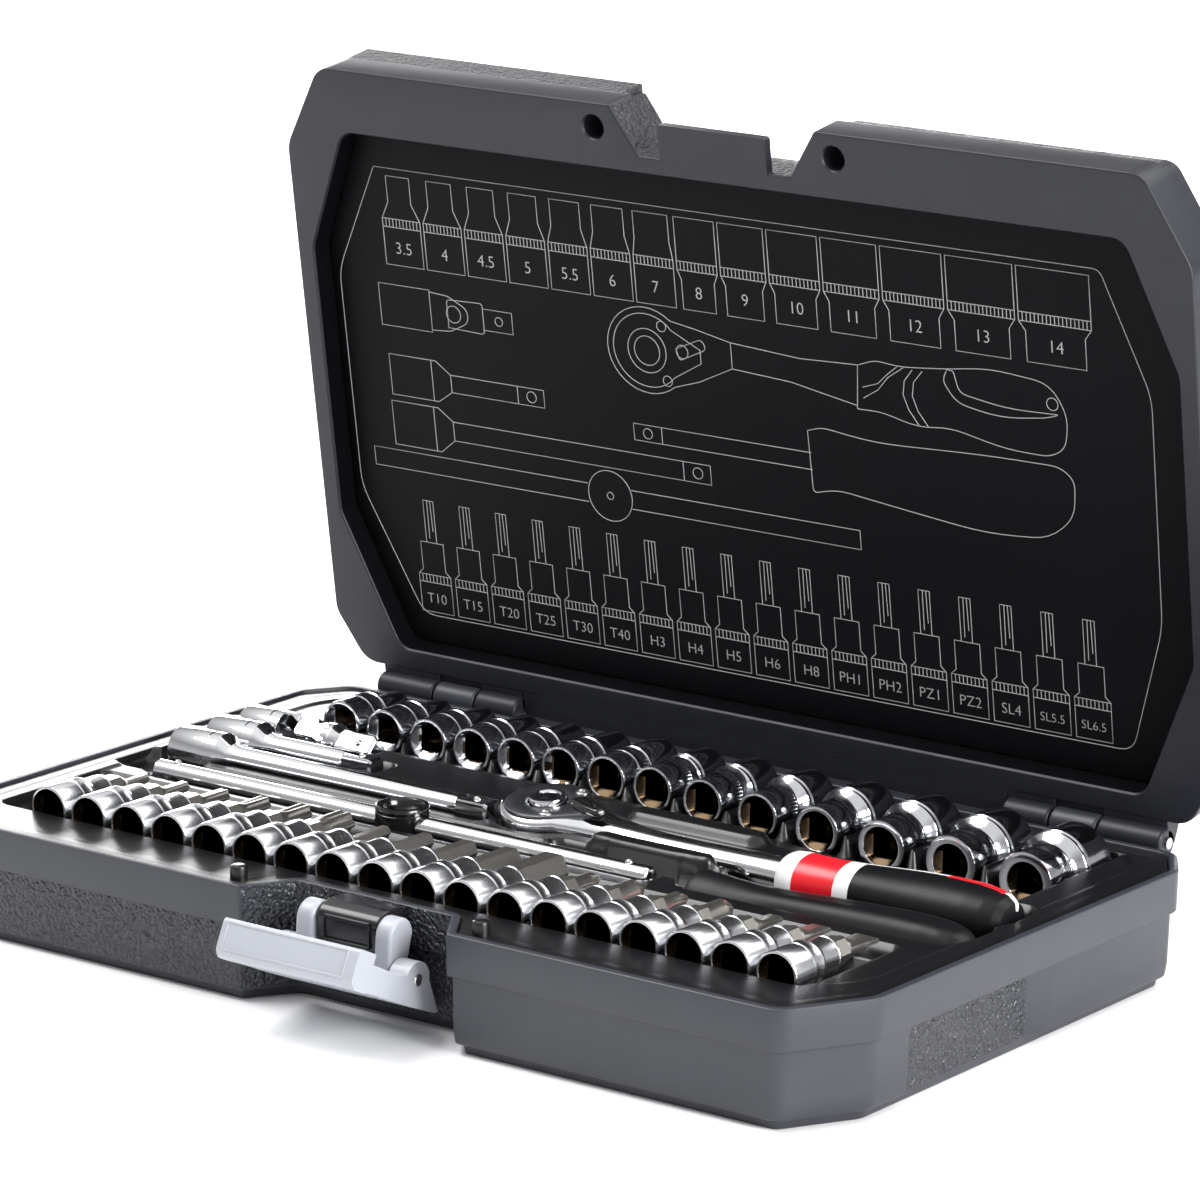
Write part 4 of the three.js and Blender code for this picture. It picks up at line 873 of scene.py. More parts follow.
def build_latch():
    sides = []
    for pivot, radius, start in ((LINK_PIVOT, 4.4, 0), (LEVER_PIVOT, 3.4, math.pi)):
        for k in range(13):
            angle = start + math.pi * k / 12
            sides.append((pivot.y + radius * math.cos(angle), pivot.z + radius * math.sin(angle)))
    link = Shape(*(side_view(sides, side * 9.3, side * 14.1) for side in (-1, 1)))
    link.add(turned([(0, 3), (19, 3)], Vector((-9.5, LEVER_PIVOT.y, LEVER_PIVOT.z)), X_AXIS, 32))
    thing = link.object("latch_arms")
    soften(thing, 0.9, 4, 50)
    finish_piece(thing, "latch_link", ("latch_link",), [LATCH])

    def spot(along, up):
        """From the lever's own frame, along from its heel and up from its outer face."""
        cos, sin = math.cos(LEVER_HANG), math.sin(LEVER_HANG)
        a, b = along - LEVER["heel"], up - LEVER["pivot_height"]
        return LEVER_PIVOT.y - cos * a + sin * b, LEVER_PIVOT.z + sin * a + cos * b

    def block(points, x0, x1):
        return side_view([spot(*p) for p in points], x0, x1)

    half = LEVER["half"]
    length = LEVER["length"]
    # The hook catches the lid's tab. The ears stay in front of the tab when the lid is shut.
    hook = rounded_line([(29.5, -0.9, 0), (29.5, 8.2, 0.5), (length - 0.4, 8.2, 0.8), (length, 7.4, 0.5),
                         (length, 0.4, 0.8), (length - 1.6, -1.2, 0.8), (30, -1.2, 0)], 3)
    plate = rounded_line([(30, -1.0, 0), (14, -0.7, 8), (1.4, 0, 1), (0, 0.5, 0.5), (1.4, 2.2, 0.6),
                          (30, 2.2, 0)], 3)
    lug = [(LEVER["heel"] + 4.4 * math.cos(a), LEVER["pivot_height"] + 4.4 * math.sin(a))
           for a in [math.pi * (0.02 + 0.9 * k / 12) for k in range(13)]]
    ear = [(0.2, 0.6), (1.5, 0.2), (14, -0.5), (30, -0.8), (30, 5.7), (27, 5.7), (18.5, 5.4)] + lug
    thing = Shape(block(hook, -half, half)).object("latch_lever_shell")
    cut(thing, block(plate, -half + 0.3, half - 0.3), "UNION")
    for x0, x1 in ((-half + 0.05, -14.6), (14.6, half - 0.05)):
        cut(thing, block(ear, x0, x1), "UNION")
    soften(thing, 0.45, 3, 40)
    finish_piece(thing, "latch_lever", ("latch_lever",), [LATCH])
    # The thin raised frame round the lever's end face.
    inner, outer = length - 0.2, length + 0.18
    end_frame = Shape()
    for low, high, x0, x1 in ((0.6, 1.1, -half + 1.4, half - 3.2), (7.0, 7.5, -half + 1.4, half - 3.2),
                              (0.6, 7.5, -half + 1.2, -half + 1.8), (0.6, 7.5, half - 3.4, half - 2.8)):
        end_frame.add(block([(inner, low), (outer, low), (outer, high), (inner, high)], x0, x1))
    thing = end_frame.object("latch_lever_frame")
    soften(thing, 0.12, 2)
    finish_piece(thing, "latch_lever", (), [LATCH])
    for name, side in (("left", -1), ("right", 1)):
        place = Vector((side * (half + 0.3), LEVER_PIVOT.y, LEVER_PIVOT.z))
        rivet = turned([(0, 0.6), (0, 1.25), (0.15, 1.45), (0.8, 1.45)], place, -side * X_AXIS, 24)
        finish_piece(Shape(rivet).object("latch_rivet_" + name), "latch_lever", (), [PIN_STEEL])


build_latch()


# ---- sockets
SQUARE_HALF = 3.2
PIN_HALF = 3.08
# The CAD's round bodies have sixteen sides, so their boxes fall short of the corners by this share.
FACET_SHARE = math.cos(math.pi / 16)
# A detent ball's radius, and how far its centre lies from the pin's axis.
DETENT = 1.1
DETENT_RISE = 2.75


def knurled(start, end, radius, depth, teeth):
    """Rows of a straight knurl between two plain lands."""
    return [(start, radius), (start + 0.25, ridged(radius, depth, teeth)),
            (end - 0.25, ridged(radius, depth, teeth)), (end, radius)]


def grooved(start, end, radius, depth):
    return [(start, radius), (start + 0.2, radius - depth), (end - 0.2, radius - depth), (end, radius)]


def drive_pin(tip, root, corner=4.1):
    """Rows of a square drive pin with a chamfered tip, from its root to its tip."""
    shoulder = tip - math.copysign(0.8, tip - root)
    return [(root, square(PIN_HALF, corner)), (shoulder, square(PIN_HALF, corner)), (tip, square(2.5, 3.3))]


def mouth_ring(radius):
    return min(radius - 0.75, 5.0)


def mouth_rows(radius, start=0):
    """The drive end, from inside its square bore to the outside."""
    ring = mouth_ring(radius)
    rows = [(9.5, square(SQUARE_HALF)), (1.7, square(SQUARE_HALF)), (1.3, square(SQUARE_HALF + 0.35, 4.5)),
            (0.15, ring), (0, ring + 0.15), (0, radius - 0.45), (0.12, radius - 0.15), (0.45, radius)]
    return [(start + along, r) for along, r in rows]


def drive_radius(size):
    """The outside radius of a socket's drive end."""
    return 5.9 if size <= 10 else 5.9 + 0.42 * (size - 10)


def paint_bore(thing, centre, start, end, radius):
    """Gives the bore's dark material, the steel's brown tint with painted shade, to the faces near an axis
    along Y.
    """
    axis = Vector((centre.x, centre.z))
    paint_faces(thing, 1, lambda c, n: (Vector((c.x, c.z)) - axis).length < radius and start < c.y < end)


def build_socket(size):
    """A hexagon socket: small ones step down from the drive end, large ones swell from it."""
    node = f"socket_{node_label(size)}mm"
    low, high = cad_box(node)
    length = high.y - low.y
    widest = (high.x - low.x) / 2 / FACET_SHARE
    drive = drive_radius(size)
    far = widest if size >= 8 else 3.6 + 0.55 * (size - 3)
    rows = mouth_rows(drive)[1:]
    if size < 8:
        rows += grooved(6.6, 7.4, drive, 0.3)
        rows += knurled(7.6, 11.4, drive, 0.22, 48)
        rows += [(11.6, drive - 0.3), (12.0, drive - 0.3), (12.3, drive), (12.8, drive),
                 (13.3, drive - 0.25), (14.6, far + 0.1)]
    else:
        rows += knurled(6.4, 9.6, drive, 0.22, 48)
        rows += [(10.4, drive - 0.1), (11.4, drive + (far - drive) * 0.25), (12.4, far - 0.3), (12.8, far),
                 (13.4, far), (13.7, far - 0.4), (14.3, far - 0.4), (14.6, far)]
    depth = min(11.5, 6.5 + size / 2)
    throat = min(size / 2 - 0.1, 3.1)
    flat = size / 2 + 0.08
    rows += [(length - 1.2, far), (length - 0.5, far - 0.12), (length - 0.12, far - 0.45),
             (length, far - 0.8),
             (length, hexagon(min(flat + 0.5, (far - 1.0) * 0.86))), (length - 0.7, hexagon(flat)),
             (length - depth, hexagon(flat)), (length - depth - 0.5, throat), (9.8, throat),
             (9.5, square(SQUARE_HALF))]
    centre = Vector(((low.x + high.x) / 2, low.y, (low.z + high.z) / 2))
    thing = Shape(turned(rows, centre, Y_AXIS, 96, closed=True)).object("socket_body_" + node_label(size))
    give(thing, SOCKET_CHROME, BORE_TINT_AND_SHADE)
    paint_bore(thing, centre, low.y + 0.1, high.y - 0.1, min(mouth_ring(drive), far - 0.9))
    finish_piece(thing, f"socket_{node_label(size)}", (node,))


def tip_rows(name, start, end):
    """The bit's own working end, from its shank to its point."""
    size = float("".join(ch for ch in name if ch.isdigit() or ch == "."))
    if name.startswith("H"):
        return [(start, hexagon(size / 2)), (end - 0.5, hexagon(size / 2)), (end, hexagon(size / 2 - 0.4))]
    if name.startswith("SL"):
        return [(start, hexagon(3.1)), (start + 1, 3.2), (start + 6, blade(size / 2, 0.9)),
                (end, blade(size / 2, 0.55))]
    if name.startswith("T"):
        radius = 0.72 + 0.0648 * size
        return [(start, hexagon(3.1)), (start + 0.8, 3.1), (start + 3, max(radius, 2.0)),
                (start + 4, star(radius)), (end - 0.3, star(radius)), (end, star(radius * 0.9))]
    radius = 1.7 + 0.6 * size
    return [(start, hexagon(3.1)), (start + 1, 3.1), (start + 4, radius), (end - 4.5, radius),
            (end - 3.4, crossed(radius, 0.8)), (end - 0.6, crossed(radius * 0.42, 0.5)),
            (end, crossed(radius * 0.3, 0.4))]


def build_bit(name):
    label = node_label(name)
    node = "bit_socket_" + label
    low, high = cad_box(node)
    length = high.y - low.y
    radius = 5.6
    nose = 4.6
    centre = Vector(((low.x + high.x) / 2, low.y, BIT_AXIS_HEIGHT))
    rows = mouth_rows(radius) + grooved(7.6, 8.3, radius, 0.25) + knurled(8.4, 11.2, radius, 0.2, 44)
    rows += [(11.4, radius), (12.2, radius - 0.2), (13, nose + 0.1), (13.6, nose)]
    rows += grooved(18.6, 19.3, nose, 0.15) + [(19.7, nose - 0.1), (20, nose - 0.5), (20, 2.2)]
    shape = Shape(turned(rows, centre, Y_AXIS, 88))
    shank_end = 21 if name.startswith("H") else 25.5
    thick = 4.0 if name == "H8" else 3.17
    shank = [(18, hexagon(thick)), (shank_end - 0.4, hexagon(thick)), (shank_end, hexagon(thick - 0.4))]
    for part in (shank, tip_rows(name, shank_end - 0.6, length)):
        shape.add(turned(part, centre, Y_AXIS, 48), 2)
    thing = shape.object("bit_body_" + label)
    give(thing, SATIN_CHROME, BORE_TINT_AND_SHADE, BIT_STEEL)
    paint_bore(thing, centre, low.y + 0.1, low.y + 11, mouth_ring(radius))
    finish_piece(thing, "bit_" + label, (node,))


# The bit sockets' axis, half way up the widest of their bodies.
BIT_AXIS_HEIGHT = sum(corner.z for corner in cad_box("bit_socket_T10")) / 2

for socket_size in SOCKET_SIZES:
    build_socket(socket_size)
for bit_name in BIT_NAMES:
    build_bit(bit_name)


# ---- extension bars, T-bar
def build_extension(node, body):
    length, axis = cad_axis(node)
    low, high = cad_box(node)
    radius = (high.y - low.y) / 2 / FACET_SHARE
    shaft = 3.3
    rows = mouth_rows(radius) + grooved(11, 11.7, radius, 0.2)
    rows += [(14.6, radius), (15.1, radius - 0.35), (16.6, radius - 2), (17.6, shaft + 0.35), (19.5, shaft),
             (length - 10.5, shaft), (length - 9.6, shaft - 0.05)]
    shape = Shape(turned(rows + drive_pin(length, length - 9.2), axis, X_AXIS, 64))
    shape.add(ball(axis + Vector((length - 4.6, 0, DETENT_RISE)), DETENT), 1)
    hole = turned([(0, 1.5), (0.35, 1.5), (0.36, 0.9)], axis + Vector((5.5, 0, radius - 0.3)), Z_AXIS, 20)
    shape.add(hole, 1)
    finish_piece(shape.object(body + "_bar"), body, (node,), [CHROME, PIN_STEEL])


build_extension("extension_bar_100mm", "extension_100")
build_extension("extension_bar_50mm", "extension_50")


def build_t_bar():
    length, axis = cad_axis("t_bar_rod")
    radius = 3.0
    rows = [(0, 2.1), (0.25, 2.6), (0.8, radius)]
    rows += [(length - along, r) for along, r in rows[::-1]]
    shape = Shape(turned(rows, axis, X_AXIS, 48))
    for along in (6.5, length - 6.5):
        shape.add(ball(axis + Vector((along, 0, radius - 0.35)), DETENT), 1)
    finish_piece(shape.object("t_bar_shaft"), "t_bar", ("t_bar_rod",), [CHROME, PIN_STEEL])
    s_low, s_high = cad_box("t_bar_slider")
    centre = Vector(((s_low.x + s_high.x) / 2, axis.y, s_high.z + 0.9))
    outer = (s_high.x - s_low.x) / 2 + 0.4
    rows = [(-10, outer - 0.8), (-9.7, outer - 0.2), (-9.2, outer)] + grooved(-1.9, -1.1, outer, 0.25)
    rows += [(-0.45, outer), (-0.1, outer - 0.2), (0, outer - 0.55), (0, outer - 1.3), (-0.3, outer - 1.6),
             (-1.6, outer - 1.9), (-1.7, 1.6), (-2.3, 1.3)]
    thing = Shape(turned(rows, centre, Z_AXIS, 64)).object("t_bar_slide_block")
    cut(thing, turned([(-12, 3.3), (12, 3.3)], Vector((centre.x, axis.y, axis.z)), X_AXIS, 40))
    # A groove in the bore's top clears the rod's detent balls.
    cut(thing, slab((centre.x - 12, axis.y - 1.3, axis.z), (centre.x + 12, axis.y + 1.3, axis.z + 4)))
    finish_piece(thing, "t_bar_slider", ("t_bar_slider",), [BLACK_OXIDE])
    drop = centre.z - s_low.z
    square_end = Shape(turned(drive_pin(-drop, -8.5)[::-1], centre, Z_AXIS, 48),
                       ball(centre + Vector((0, -DETENT_RISE, -drop + 4)), DETENT))
    finish_piece(square_end.object("t_bar_square"), "t_bar_slider", (), [BLACK_OXIDE])


build_t_bar()


# ---- universal joint
def build_universal_joint():
    pivot = joint_point("joint_socket_pivot")
    low, _ = cad_box("universal_joint_socket_yoke")
    radius = 5.8
    start = low.x - pivot.x
    lean = Matrix.Translation(pivot) @ Matrix.Rotation(math.pi / 4, 4, "X")
    centre = Vector((0, 0, 0))
    rows = [(start + 8.4, square(SQUARE_HALF))] + mouth_rows(radius, start)[1:]
    rows += grooved(start + 9, start + 9.7, radius, 0.2)
    rows += [(0.2, radius), (1.4, radius - 0.6), (2.1, radius - 1.7)]
    yoke = Shape(turned(rows, centre, X_AXIS, 64)).object("joint_socket_fork")
    cut(yoke, slab((-7.2, -2.9, -9), (8, 2.9, 9)))
    cut(yoke, slab((-4.6, -9, 2.2), (8, 9, 9)))
    cut(yoke, slab((-4.6, -9, -9), (8, 9, -2.2)))
    cross = Shape(turned([(-2.6, 1.7), (-2.2, 2.5), (2.2, 2.5), (2.6, 1.7)], centre, X_AXIS, 32))
    for half, axis in ((5.5, Y_AXIS), (5.0, Z_AXIS)):
        pin = [(-half, 0.7), (0.2 - half, 1.15), (half - 0.2, 1.15), (half, 0.7)]
        cross.add(turned(pin, centre, axis, 24))
    _, far = cad_box("universal_joint_drive_yoke")
    end = far.x - pivot.x
    cheek = outline([(-1.9, -1.3, 0.7), (-1.2, -2.1, 0.8), (4.5, -2.1, 1), (8, -3.4, 1), (8, 3.4, 1),
                     (4.5, 2.1, 1), (-1.2, 2.1, 0.8), (-1.9, 1.3, 0.7)], 0, 3)
    neck = [(6.2, 4.6), (6.4, 5.2), (9.0, 5.3), (9.6, 4.9), (10.8, 3.5)]
    drive = Shape(prism(cheek, -5.0, -3.0), prism(cheek, 3.0, 5.0),
                  turned(neck + drive_pin(end, 11.2), centre, X_AXIS, 64),
                  ball(Vector((end - 4.4, 0, DETENT_RISE)), DETENT))
    cross_piece = cross.object("joint_cross_block")
    drive_piece = drive.object("joint_drive_fork")
    for thing, body, node, slot, material in (
            (yoke, "universal_joint", "universal_joint_socket_yoke", "bright_chrome", CHROME),
            (cross_piece, "joint_cross", "universal_joint_cross", "joint_cross", PIN_STEEL),
            (drive_piece, "joint_drive", "universal_joint_drive_yoke", "bright_chrome", CHROME)):
        move(thing, lean)
        soften(thing, 0.22, 2)
        finish_piece(thing, body, (node,), [material])


build_universal_joint()


# ---- spinner handle
def build_spinner():
    length, start = cad_axis("spinner_handle")
    # The grip's radius at places along it.
    knots = [(0, 6.6), (0.5, 7.5), (1.6, 8.0), (6, 7.8), (11, 7.35), (17, 7.15), (24, 7.3), (34, 7.8),
             (46, 8.4), (58, 8.75), (66, 8.7), (71, 8.2), (74.6, 7.2), (76.8, 5.6), (length, 3.2)]
    along = np.array([k[0] for k in knots])
    radii = np.array([k[1] for k in knots])
    rows = []
    for k in range(79):
        s = length * k / 78
        lobes = 0.035 * min(1.0, max(0.0, (s - 12) / 14)) * min(1.0, (length - s) / 8)
        radius = float(np.interp(s, along, radii))
        rows.append((s, lambda a, r=radius, d=lobes: r * (1 - d + d * np.cos(6 * a))))
    thing = Shape(turned(rows, start, X_AXIS, 72)).object("spinner_grip")
    finish_piece(thing, "spinner", ("spinner_handle",), [GRIP_BLACK])
    shank_start = cad_box("spinner_shank")[0].x - start.x
    rows = drive_pin(shank_start, shank_start + 8.4, 4.05)[::-1] + [(shank_start + 9.2, 3.05), (1, 3.05)]
    shank = Shape(turned(rows, start, X_AXIS, 48))
    shank.add(ball(start + Vector((shank_start + 4.6, 0, DETENT_RISE)), DETENT), 1)
    finish_piece(shank.object("spinner_bar"), "spinner", ("spinner_shank",),
                 [CHROME, PIN_STEEL])


build_spinner()


# ---- ratchet
HEAD = joint_point("ratchet_drive_turn")
REVERSE = joint_point("reversing_lever_pivot")
HEAD_UP = Vector(JOINTS["ratchet_drive_turn"]["axis"]).normalized()
HEAD_SIDE = HEAD_UP.cross(X_AXIS).normalized()
HEAD_FRAME = Matrix.Translation(HEAD) @ Matrix((X_AXIS, HEAD_SIDE, HEAD_UP)).transposed().to_4x4()
HEAD_THICK = 11.0
HEAD_RADIUS = 12.3
HEAD_BORE = 5.75
# How far the handle's axis lies below the head's face.
AXIS_DROP = 6.7


def ratchet_sections():
    """Half width, centre height, half height and squareness of the chrome body along its length."""
    rows = []
    middle = -HEAD_THICK / 2 - 0.2
    for k in range(1, 21):
        angle = math.radians(6 + (128 - 6) * k / 20)
        x = -HEAD_RADIUS * math.cos(angle)
        rows.append((x, HEAD_RADIUS * math.sin(angle), middle, HEAD_THICK / 2, 5.5))
    rows += [(10.4, 8.6, middle - 0.1, 5.3, 4.6), (13.4, 7.4, middle - 0.3, 5.1, 4.0),
             (17.0, 6.1, middle - 0.5, 4.8, 3.2), (21.0, 5.2, -AXIS_DROP + 0.5, 4.5, 2.7),
             (27.0, 4.7, -AXIS_DROP + 0.2, 4.3, 2.3), (35.0, 4.4, -AXIS_DROP, 4.1, 2.1),
             (46.0, 4.3, -AXIS_DROP, 4.1, 2.0), (58.0, 4.6, -AXIS_DROP, 4.3, 2.0),
             (70.0, 5.0, -AXIS_DROP, 4.6, 2.0), (84.0, 4.6, -AXIS_DROP, 4.3, 2.0)]
    return rows


def section_ring(x, half_width, middle, half_height, squareness, count=64):
    """A section of the handle: an oval at squareness 2, nearer a box above that."""
    ring = []
    for k in range(count):
        a = TAU * k / count
        cos, sin = math.cos(a), math.sin(a)
        power = 2 / squareness
        ring.append((x, half_width * math.copysign(abs(cos) ** power, cos),
                     middle + half_height * math.copysign(abs(sin) ** power, sin)))
    return ring


# The grip's half width and half thickness at places along it.
GRIP = [(70.6, 5.4, 5.2), (71.2, 6.5, 5.9), (72.4, 7.2, 6.4), (75, 7.5, 6.6), (79, 7.1, 6.5),
        (85, 6.95, 6.5), (92, 7.3, 6.8), (100, 8.0, 7.3), (108, 8.6, 7.8), (117, 8.9, 8.1),
        (124, 8.8, 8.0), (129, 8.1, 7.4), (132, 7.0, 6.5), (134, 5.4, 5.2), (134.5, 3.4, 3.4)]


def grip_thickness(x):
    """Half the grip's thickness at a place along it."""
    return float(np.interp(x, [g[0] for g in GRIP], [g[2] for g in GRIP]))


def grip_ring(x):
    """The moulded grip's section at a place along it."""
    wide = float(np.interp(x, [g[0] for g in GRIP], [g[1] for g in GRIP]))
    return section_ring(x, wide, -AXIS_DROP, grip_thickness(x), 2.25, 120)


def build_ratchet():
    middle = Vector((0, 0, 0))

    def piece(thing, body, nodes, materials):
        move(thing, HEAD_FRAME)
        finish_piece(thing, body, nodes, materials)

    body = Shape(loft([section_ring(*row) for row in ratchet_sections()])).object("ratchet_shell")
    cut(body, turned([(-7, HEAD_BORE), (1, HEAD_BORE)], middle, Z_AXIS, 56))
    piece(body, "ratchet", ("ratchet_body",), [CHROME])
    # The cover plate, sunk in the head's face, is a round that runs to a blunt point.
    point = math.radians(52)
    edge = HEAD_RADIUS - 1.3

    def plate_edge(inset):
        reach = edge - inset

        def radius(a):
            from_point = abs((a + math.pi) % TAU - math.pi)
            return np.minimum(reach / np.cos(np.clip(point - from_point, 0, 1.4)), reach * 1.5)
        return radius

    cover = turned([(-0.9, HEAD_BORE), (0.05, HEAD_BORE), (0.12, HEAD_BORE + 0.2), (0.12, plate_edge(0.35)),
                    (0, plate_edge(0.1)), (-0.3, plate_edge(0)), (-0.9, plate_edge(0))],
                   middle, Z_AXIS, 96, closed=True)
    piece(Shape(cover).object("ratchet_plate"), "ratchet", ("ratchet_cover",),
          [PLATE_STEEL])
    screw = [(0, 1.75), (0.35, 1.7), (0.55, 1.35), (0.55, 0.9), (0.2, 0.75), (0.2, 0.3)]
    screws = Shape(*(turned(screw, Vector((4.9, side * 7.6, 0.1)), Z_AXIS, 28) for side in (-1, 1)))
    piece(screws.object("ratchet_screws"), "ratchet", (), [PIN_STEEL])
    button = turned([(-3.5, 4.7), (0.9, 4.7), (1.25, 4.5), (1.4, 4.1), (1.4, 3.4), (1.0, 3.1), (0.9, 0.5)],
                    middle, Z_AXIS, 48)
    piece(Shape(button).object("release_cap"), "release_button",
          ("ratchet_release_button",), [CHROME])
    well = turned([(-4.5, 5.6), (-3.0, 5.6), (-3.0, 4.8), (-4.5, 4.8)], middle, Z_AXIS, 48, closed=True)
    piece(Shape(well).object("release_well"), "ratchet", (), [BLACK_OXIDE])
    lever_x = REVERSE.x - HEAD.x
    turn = Matrix.Translation(Vector((lever_x, 0, 0))) @ Matrix.Rotation(math.radians(-22), 4, "Z")
    paddle = [(-3.4, -2.6, 2.2), (3, -2.7, 3), (8.4, -1.9, 1.6), (8.4, 1.9, 1.6), (3, 2.7, 3),
              (-3.4, 2.6, 2.2)]
    edge_profile = rounded_line([(1, 0.35, 0), (0.3, 0.35, 0.2), (0, 0.9, 0.4), (0.4, 2.0, 0.8),
                                 (1.6, 2.15, 0.3), (2.2, 2.1, 0)], 3)
    lever = Shape().add(raised(paddle, edge_profile, 6), 0, turn)
    lever.add(turned([(0.3, 0.55), (2.5, 0.55), (2.6, 0.3)], Vector((4.6, 0, 0)), Z_AXIS, 16), 0, turn)
    piece(lever.object("reversing_paddle"), "reversing_lever",
          ("ratchet_reversing_lever",), [LEVER_BLACK])
    # Grip: a white collar with a red window in it, then the black moulding with a red end mark.
    edges = {"start": GRIP[0][0], "red": 76.4, "white_again": 88.0, "black": 92.5, "end": GRIP[-1][0]}

    def grip_part(name, start, end):
        stops = set(np.arange(start, end, 0.75)) | {end} | {e for e in edges.values() if start <= e <= end}
        stops |= {g[0] for g in GRIP if start < g[0] < end}
        thing = Shape(loft([grip_ring(x) for x in sorted(stops)])).object("ratchet_grip_" + name)
        give(thing, GRIP_BLACK, WHITE, RED)
        return thing

    def share(c):
        """How high a face stands, from 0 at the grip's axis to 1 at its top."""
        return (c.z + AXIS_DROP) / grip_thickness(c.x)

    collar = grip_part("collar", edges["start"], edges["black"])
    paint_faces(collar, 1, lambda c, n: True)
    paint_faces(collar, 2, lambda c, n: edges["red"] < c.x < edges["white_again"] and
                not (c.y > 5.2 and c.z > -AXIS_DROP))
    piece(collar, "ratchet", ("ratchet_grip_band",), [])
    moulding = grip_part("moulding", edges["black"], edges["end"])
    paint_faces(moulding, 1, lambda c, n: c.y > 0 and 0.86 < share(c) < 0.965)
    paint_faces(moulding, 2, lambda c, n: 115 < c.x < 131 and c.y > 0 and 0.5 < share(c) < 0.985)
    piece(moulding, "ratchet", ("ratchet_grip",), [])


build_ratchet()


# ---- tray
def tray_height():
    """The moulded surface as a height over a fine grid: a level top with soft-edged pockets and lands."""
    step = 0.62
    xs = np.arange(-HALF_WIDTH + 4.2, HALF_WIDTH - 4.1, step)
    ys = np.arange(FRONT + 4.2, REAR - 4.1, step)
    gx, gy = np.meshgrid(xs, ys)
    z = np.full(gx.shape, TRAY_TOP - 0.012)

    def ease(t):
        t = np.clip(t, 0, 1)
        return t * t * (3 - 2 * t)

    def rounded_box(x0, x1, y0, y1, radius):
        dx = abs(gx - (x0 + x1) / 2) - (x1 - x0) / 2 + radius
        dy = abs(gy - (y0 + y1) / 2) - (y1 - y0) / 2 + radius
        outside = np.hypot(np.maximum(dx, 0), np.maximum(dy, 0))
        return outside + np.minimum(np.maximum(dx, dy), 0) - radius

    def sink(distance, floor, draft=1.0):
        """A pocket: its wall stands just outside the line where distance is 0."""
        wall = floor + (TRAY_TOP - floor) * ease(distance / draft)
        return np.where(distance < draft, np.minimum(z, wall), z)

    # A low step all round, just inside the rim.
    edge = rounded_box(-124.5, 124.5, -62.5, 79, 20)
    z = z - 0.5 * ease(-edge / 0.8)
    # Bits' trough with notched ribs.
    low, _ = cad_box("bit_socket_T10")
    _, high = cad_box("bit_socket_SL6_5")
    z = sink(rounded_box(low.x - 8.5, high.x + 2, low.y - 0.9, high.y + 1.4, 2.5), BIT_AXIS_HEIGHT - 6)
    for first, second in zip(BIT_NAMES, BIT_NAMES[1:]):
        right_of_first = cad_box("bit_socket_" + node_label(first))[1].x
        left_of_second = cad_box("bit_socket_" + node_label(second))[0].x
        middle = (right_of_first + left_of_second) / 2
        rib = rounded_box(middle - 2.2, middle + 2.2, low.y + 23.5, high.y + 2, 0.6)
        z = np.maximum(z, np.where(rib < 0, TRAY_TOP - 2.4 - 6 * ease((rib + 1.2) / 1.2), z))
        saddle = rounded_box(middle - 1.0, middle + 1.0, low.y + 1, low.y + 12, 0.4)
        z = np.maximum(z, np.where(saddle < 0, BIT_AXIS_HEIGHT - 3.2, z))
    # The sockets' round-bottomed pockets, each with a lowered lip.
    mouths = []
    for size in SOCKET_SIZES:
        low, high = cad_box(f"socket_{node_label(size)}mm")
        centre_x, centre_z = (low.x + high.x) / 2, (low.z + high.z) / 2
        radius = (high.x - low.x) / 2 / FACET_SHARE + 0.45
        inside = rounded_box(centre_x - radius, centre_x + radius, low.y - 1.1, high.y + 1, 0.8)
        bowl = centre_z - np.sqrt(np.maximum(radius ** 2 - (gx - centre_x) ** 2, 0.0))
        z = np.where(inside < 0, np.minimum(z, np.minimum(bowl, TRAY_TOP)), z)
        lip = TRAY_TOP - 0.5 - 1.2 * (1 - ease(inside / 0.9))
        z = np.where((inside >= 0) & (inside < 0.9), np.minimum(z, lip), z)
        mouths.append((centre_x, centre_z - 0.72 * drive_radius(size)))
    # A hollow in front of the sockets' mouths, which falls towards each of them.
    mouth_y = low.y
    slope = np.interp(gx, [m[0] for m in mouths], [m[1] for m in mouths]) + 0.3 * (mouth_y - 1 - gy)
    scoop = rounded_box(mouths[0][0] - 6.5, mouths[-1][0] + 10.6, 10, mouth_y + 3, 5)
    between = np.min([abs(gx - m[0]) for m in mouths], axis=0) > 6.2
    open_front = (scoop < 1.2) & ~((gy > mouth_y - 1) & between)
    sunk = slope + (TRAY_TOP - slope) * ease(scoop / 1.2)
    z = np.where(open_front, np.minimum(z, sunk), z)
    # The extension bars, the joint's groove and the T-bar.
    for node in ("extension_bar_100mm", "extension_bar_50mm"):
        low, high = cad_box(node)
        z = sink(rounded_box(low.x - 1.1, high.x + 0.6, low.y - 0.5, high.y + 0.5, 2), low.z - 0.2)
    pivot = joint_point("joint_socket_pivot")
    low, _ = cad_box("universal_joint_socket_yoke")
    _, high = cad_box("universal_joint_drive_yoke")
    groove = rounded_box(low.x - 1, high.x + 1.2, pivot.y - 9.6, pivot.y + 9.6, 0.6)
    bottom = pivot.z - 6.5 * math.sqrt(2)
    z = np.where(groove < 0, np.minimum(z, bottom + abs(gy - pivot.y)), z)
    low, high = cad_box("t_bar_rod")
    slide_low, slide_high = cad_box("t_bar_slider")
    rod_y = (low.y + high.y) / 2
    reach = (slide_high.y - slide_low.y) / 2 + 1
    travel = JOINTS["t_bar_slide"]["range_m"]
    z = sink(rounded_box(slide_low.x + travel[0] / MM - 1, slide_high.x + travel[1] / MM + 1, rod_y - reach,
                         rod_y + reach, 3), slide_low.z - 0.4)
    z = sink(rounded_box(low.x - 1.6, high.x + 1.6, rod_y - 4.4, rod_y + 4.4, 2.5), low.z - 0.4)
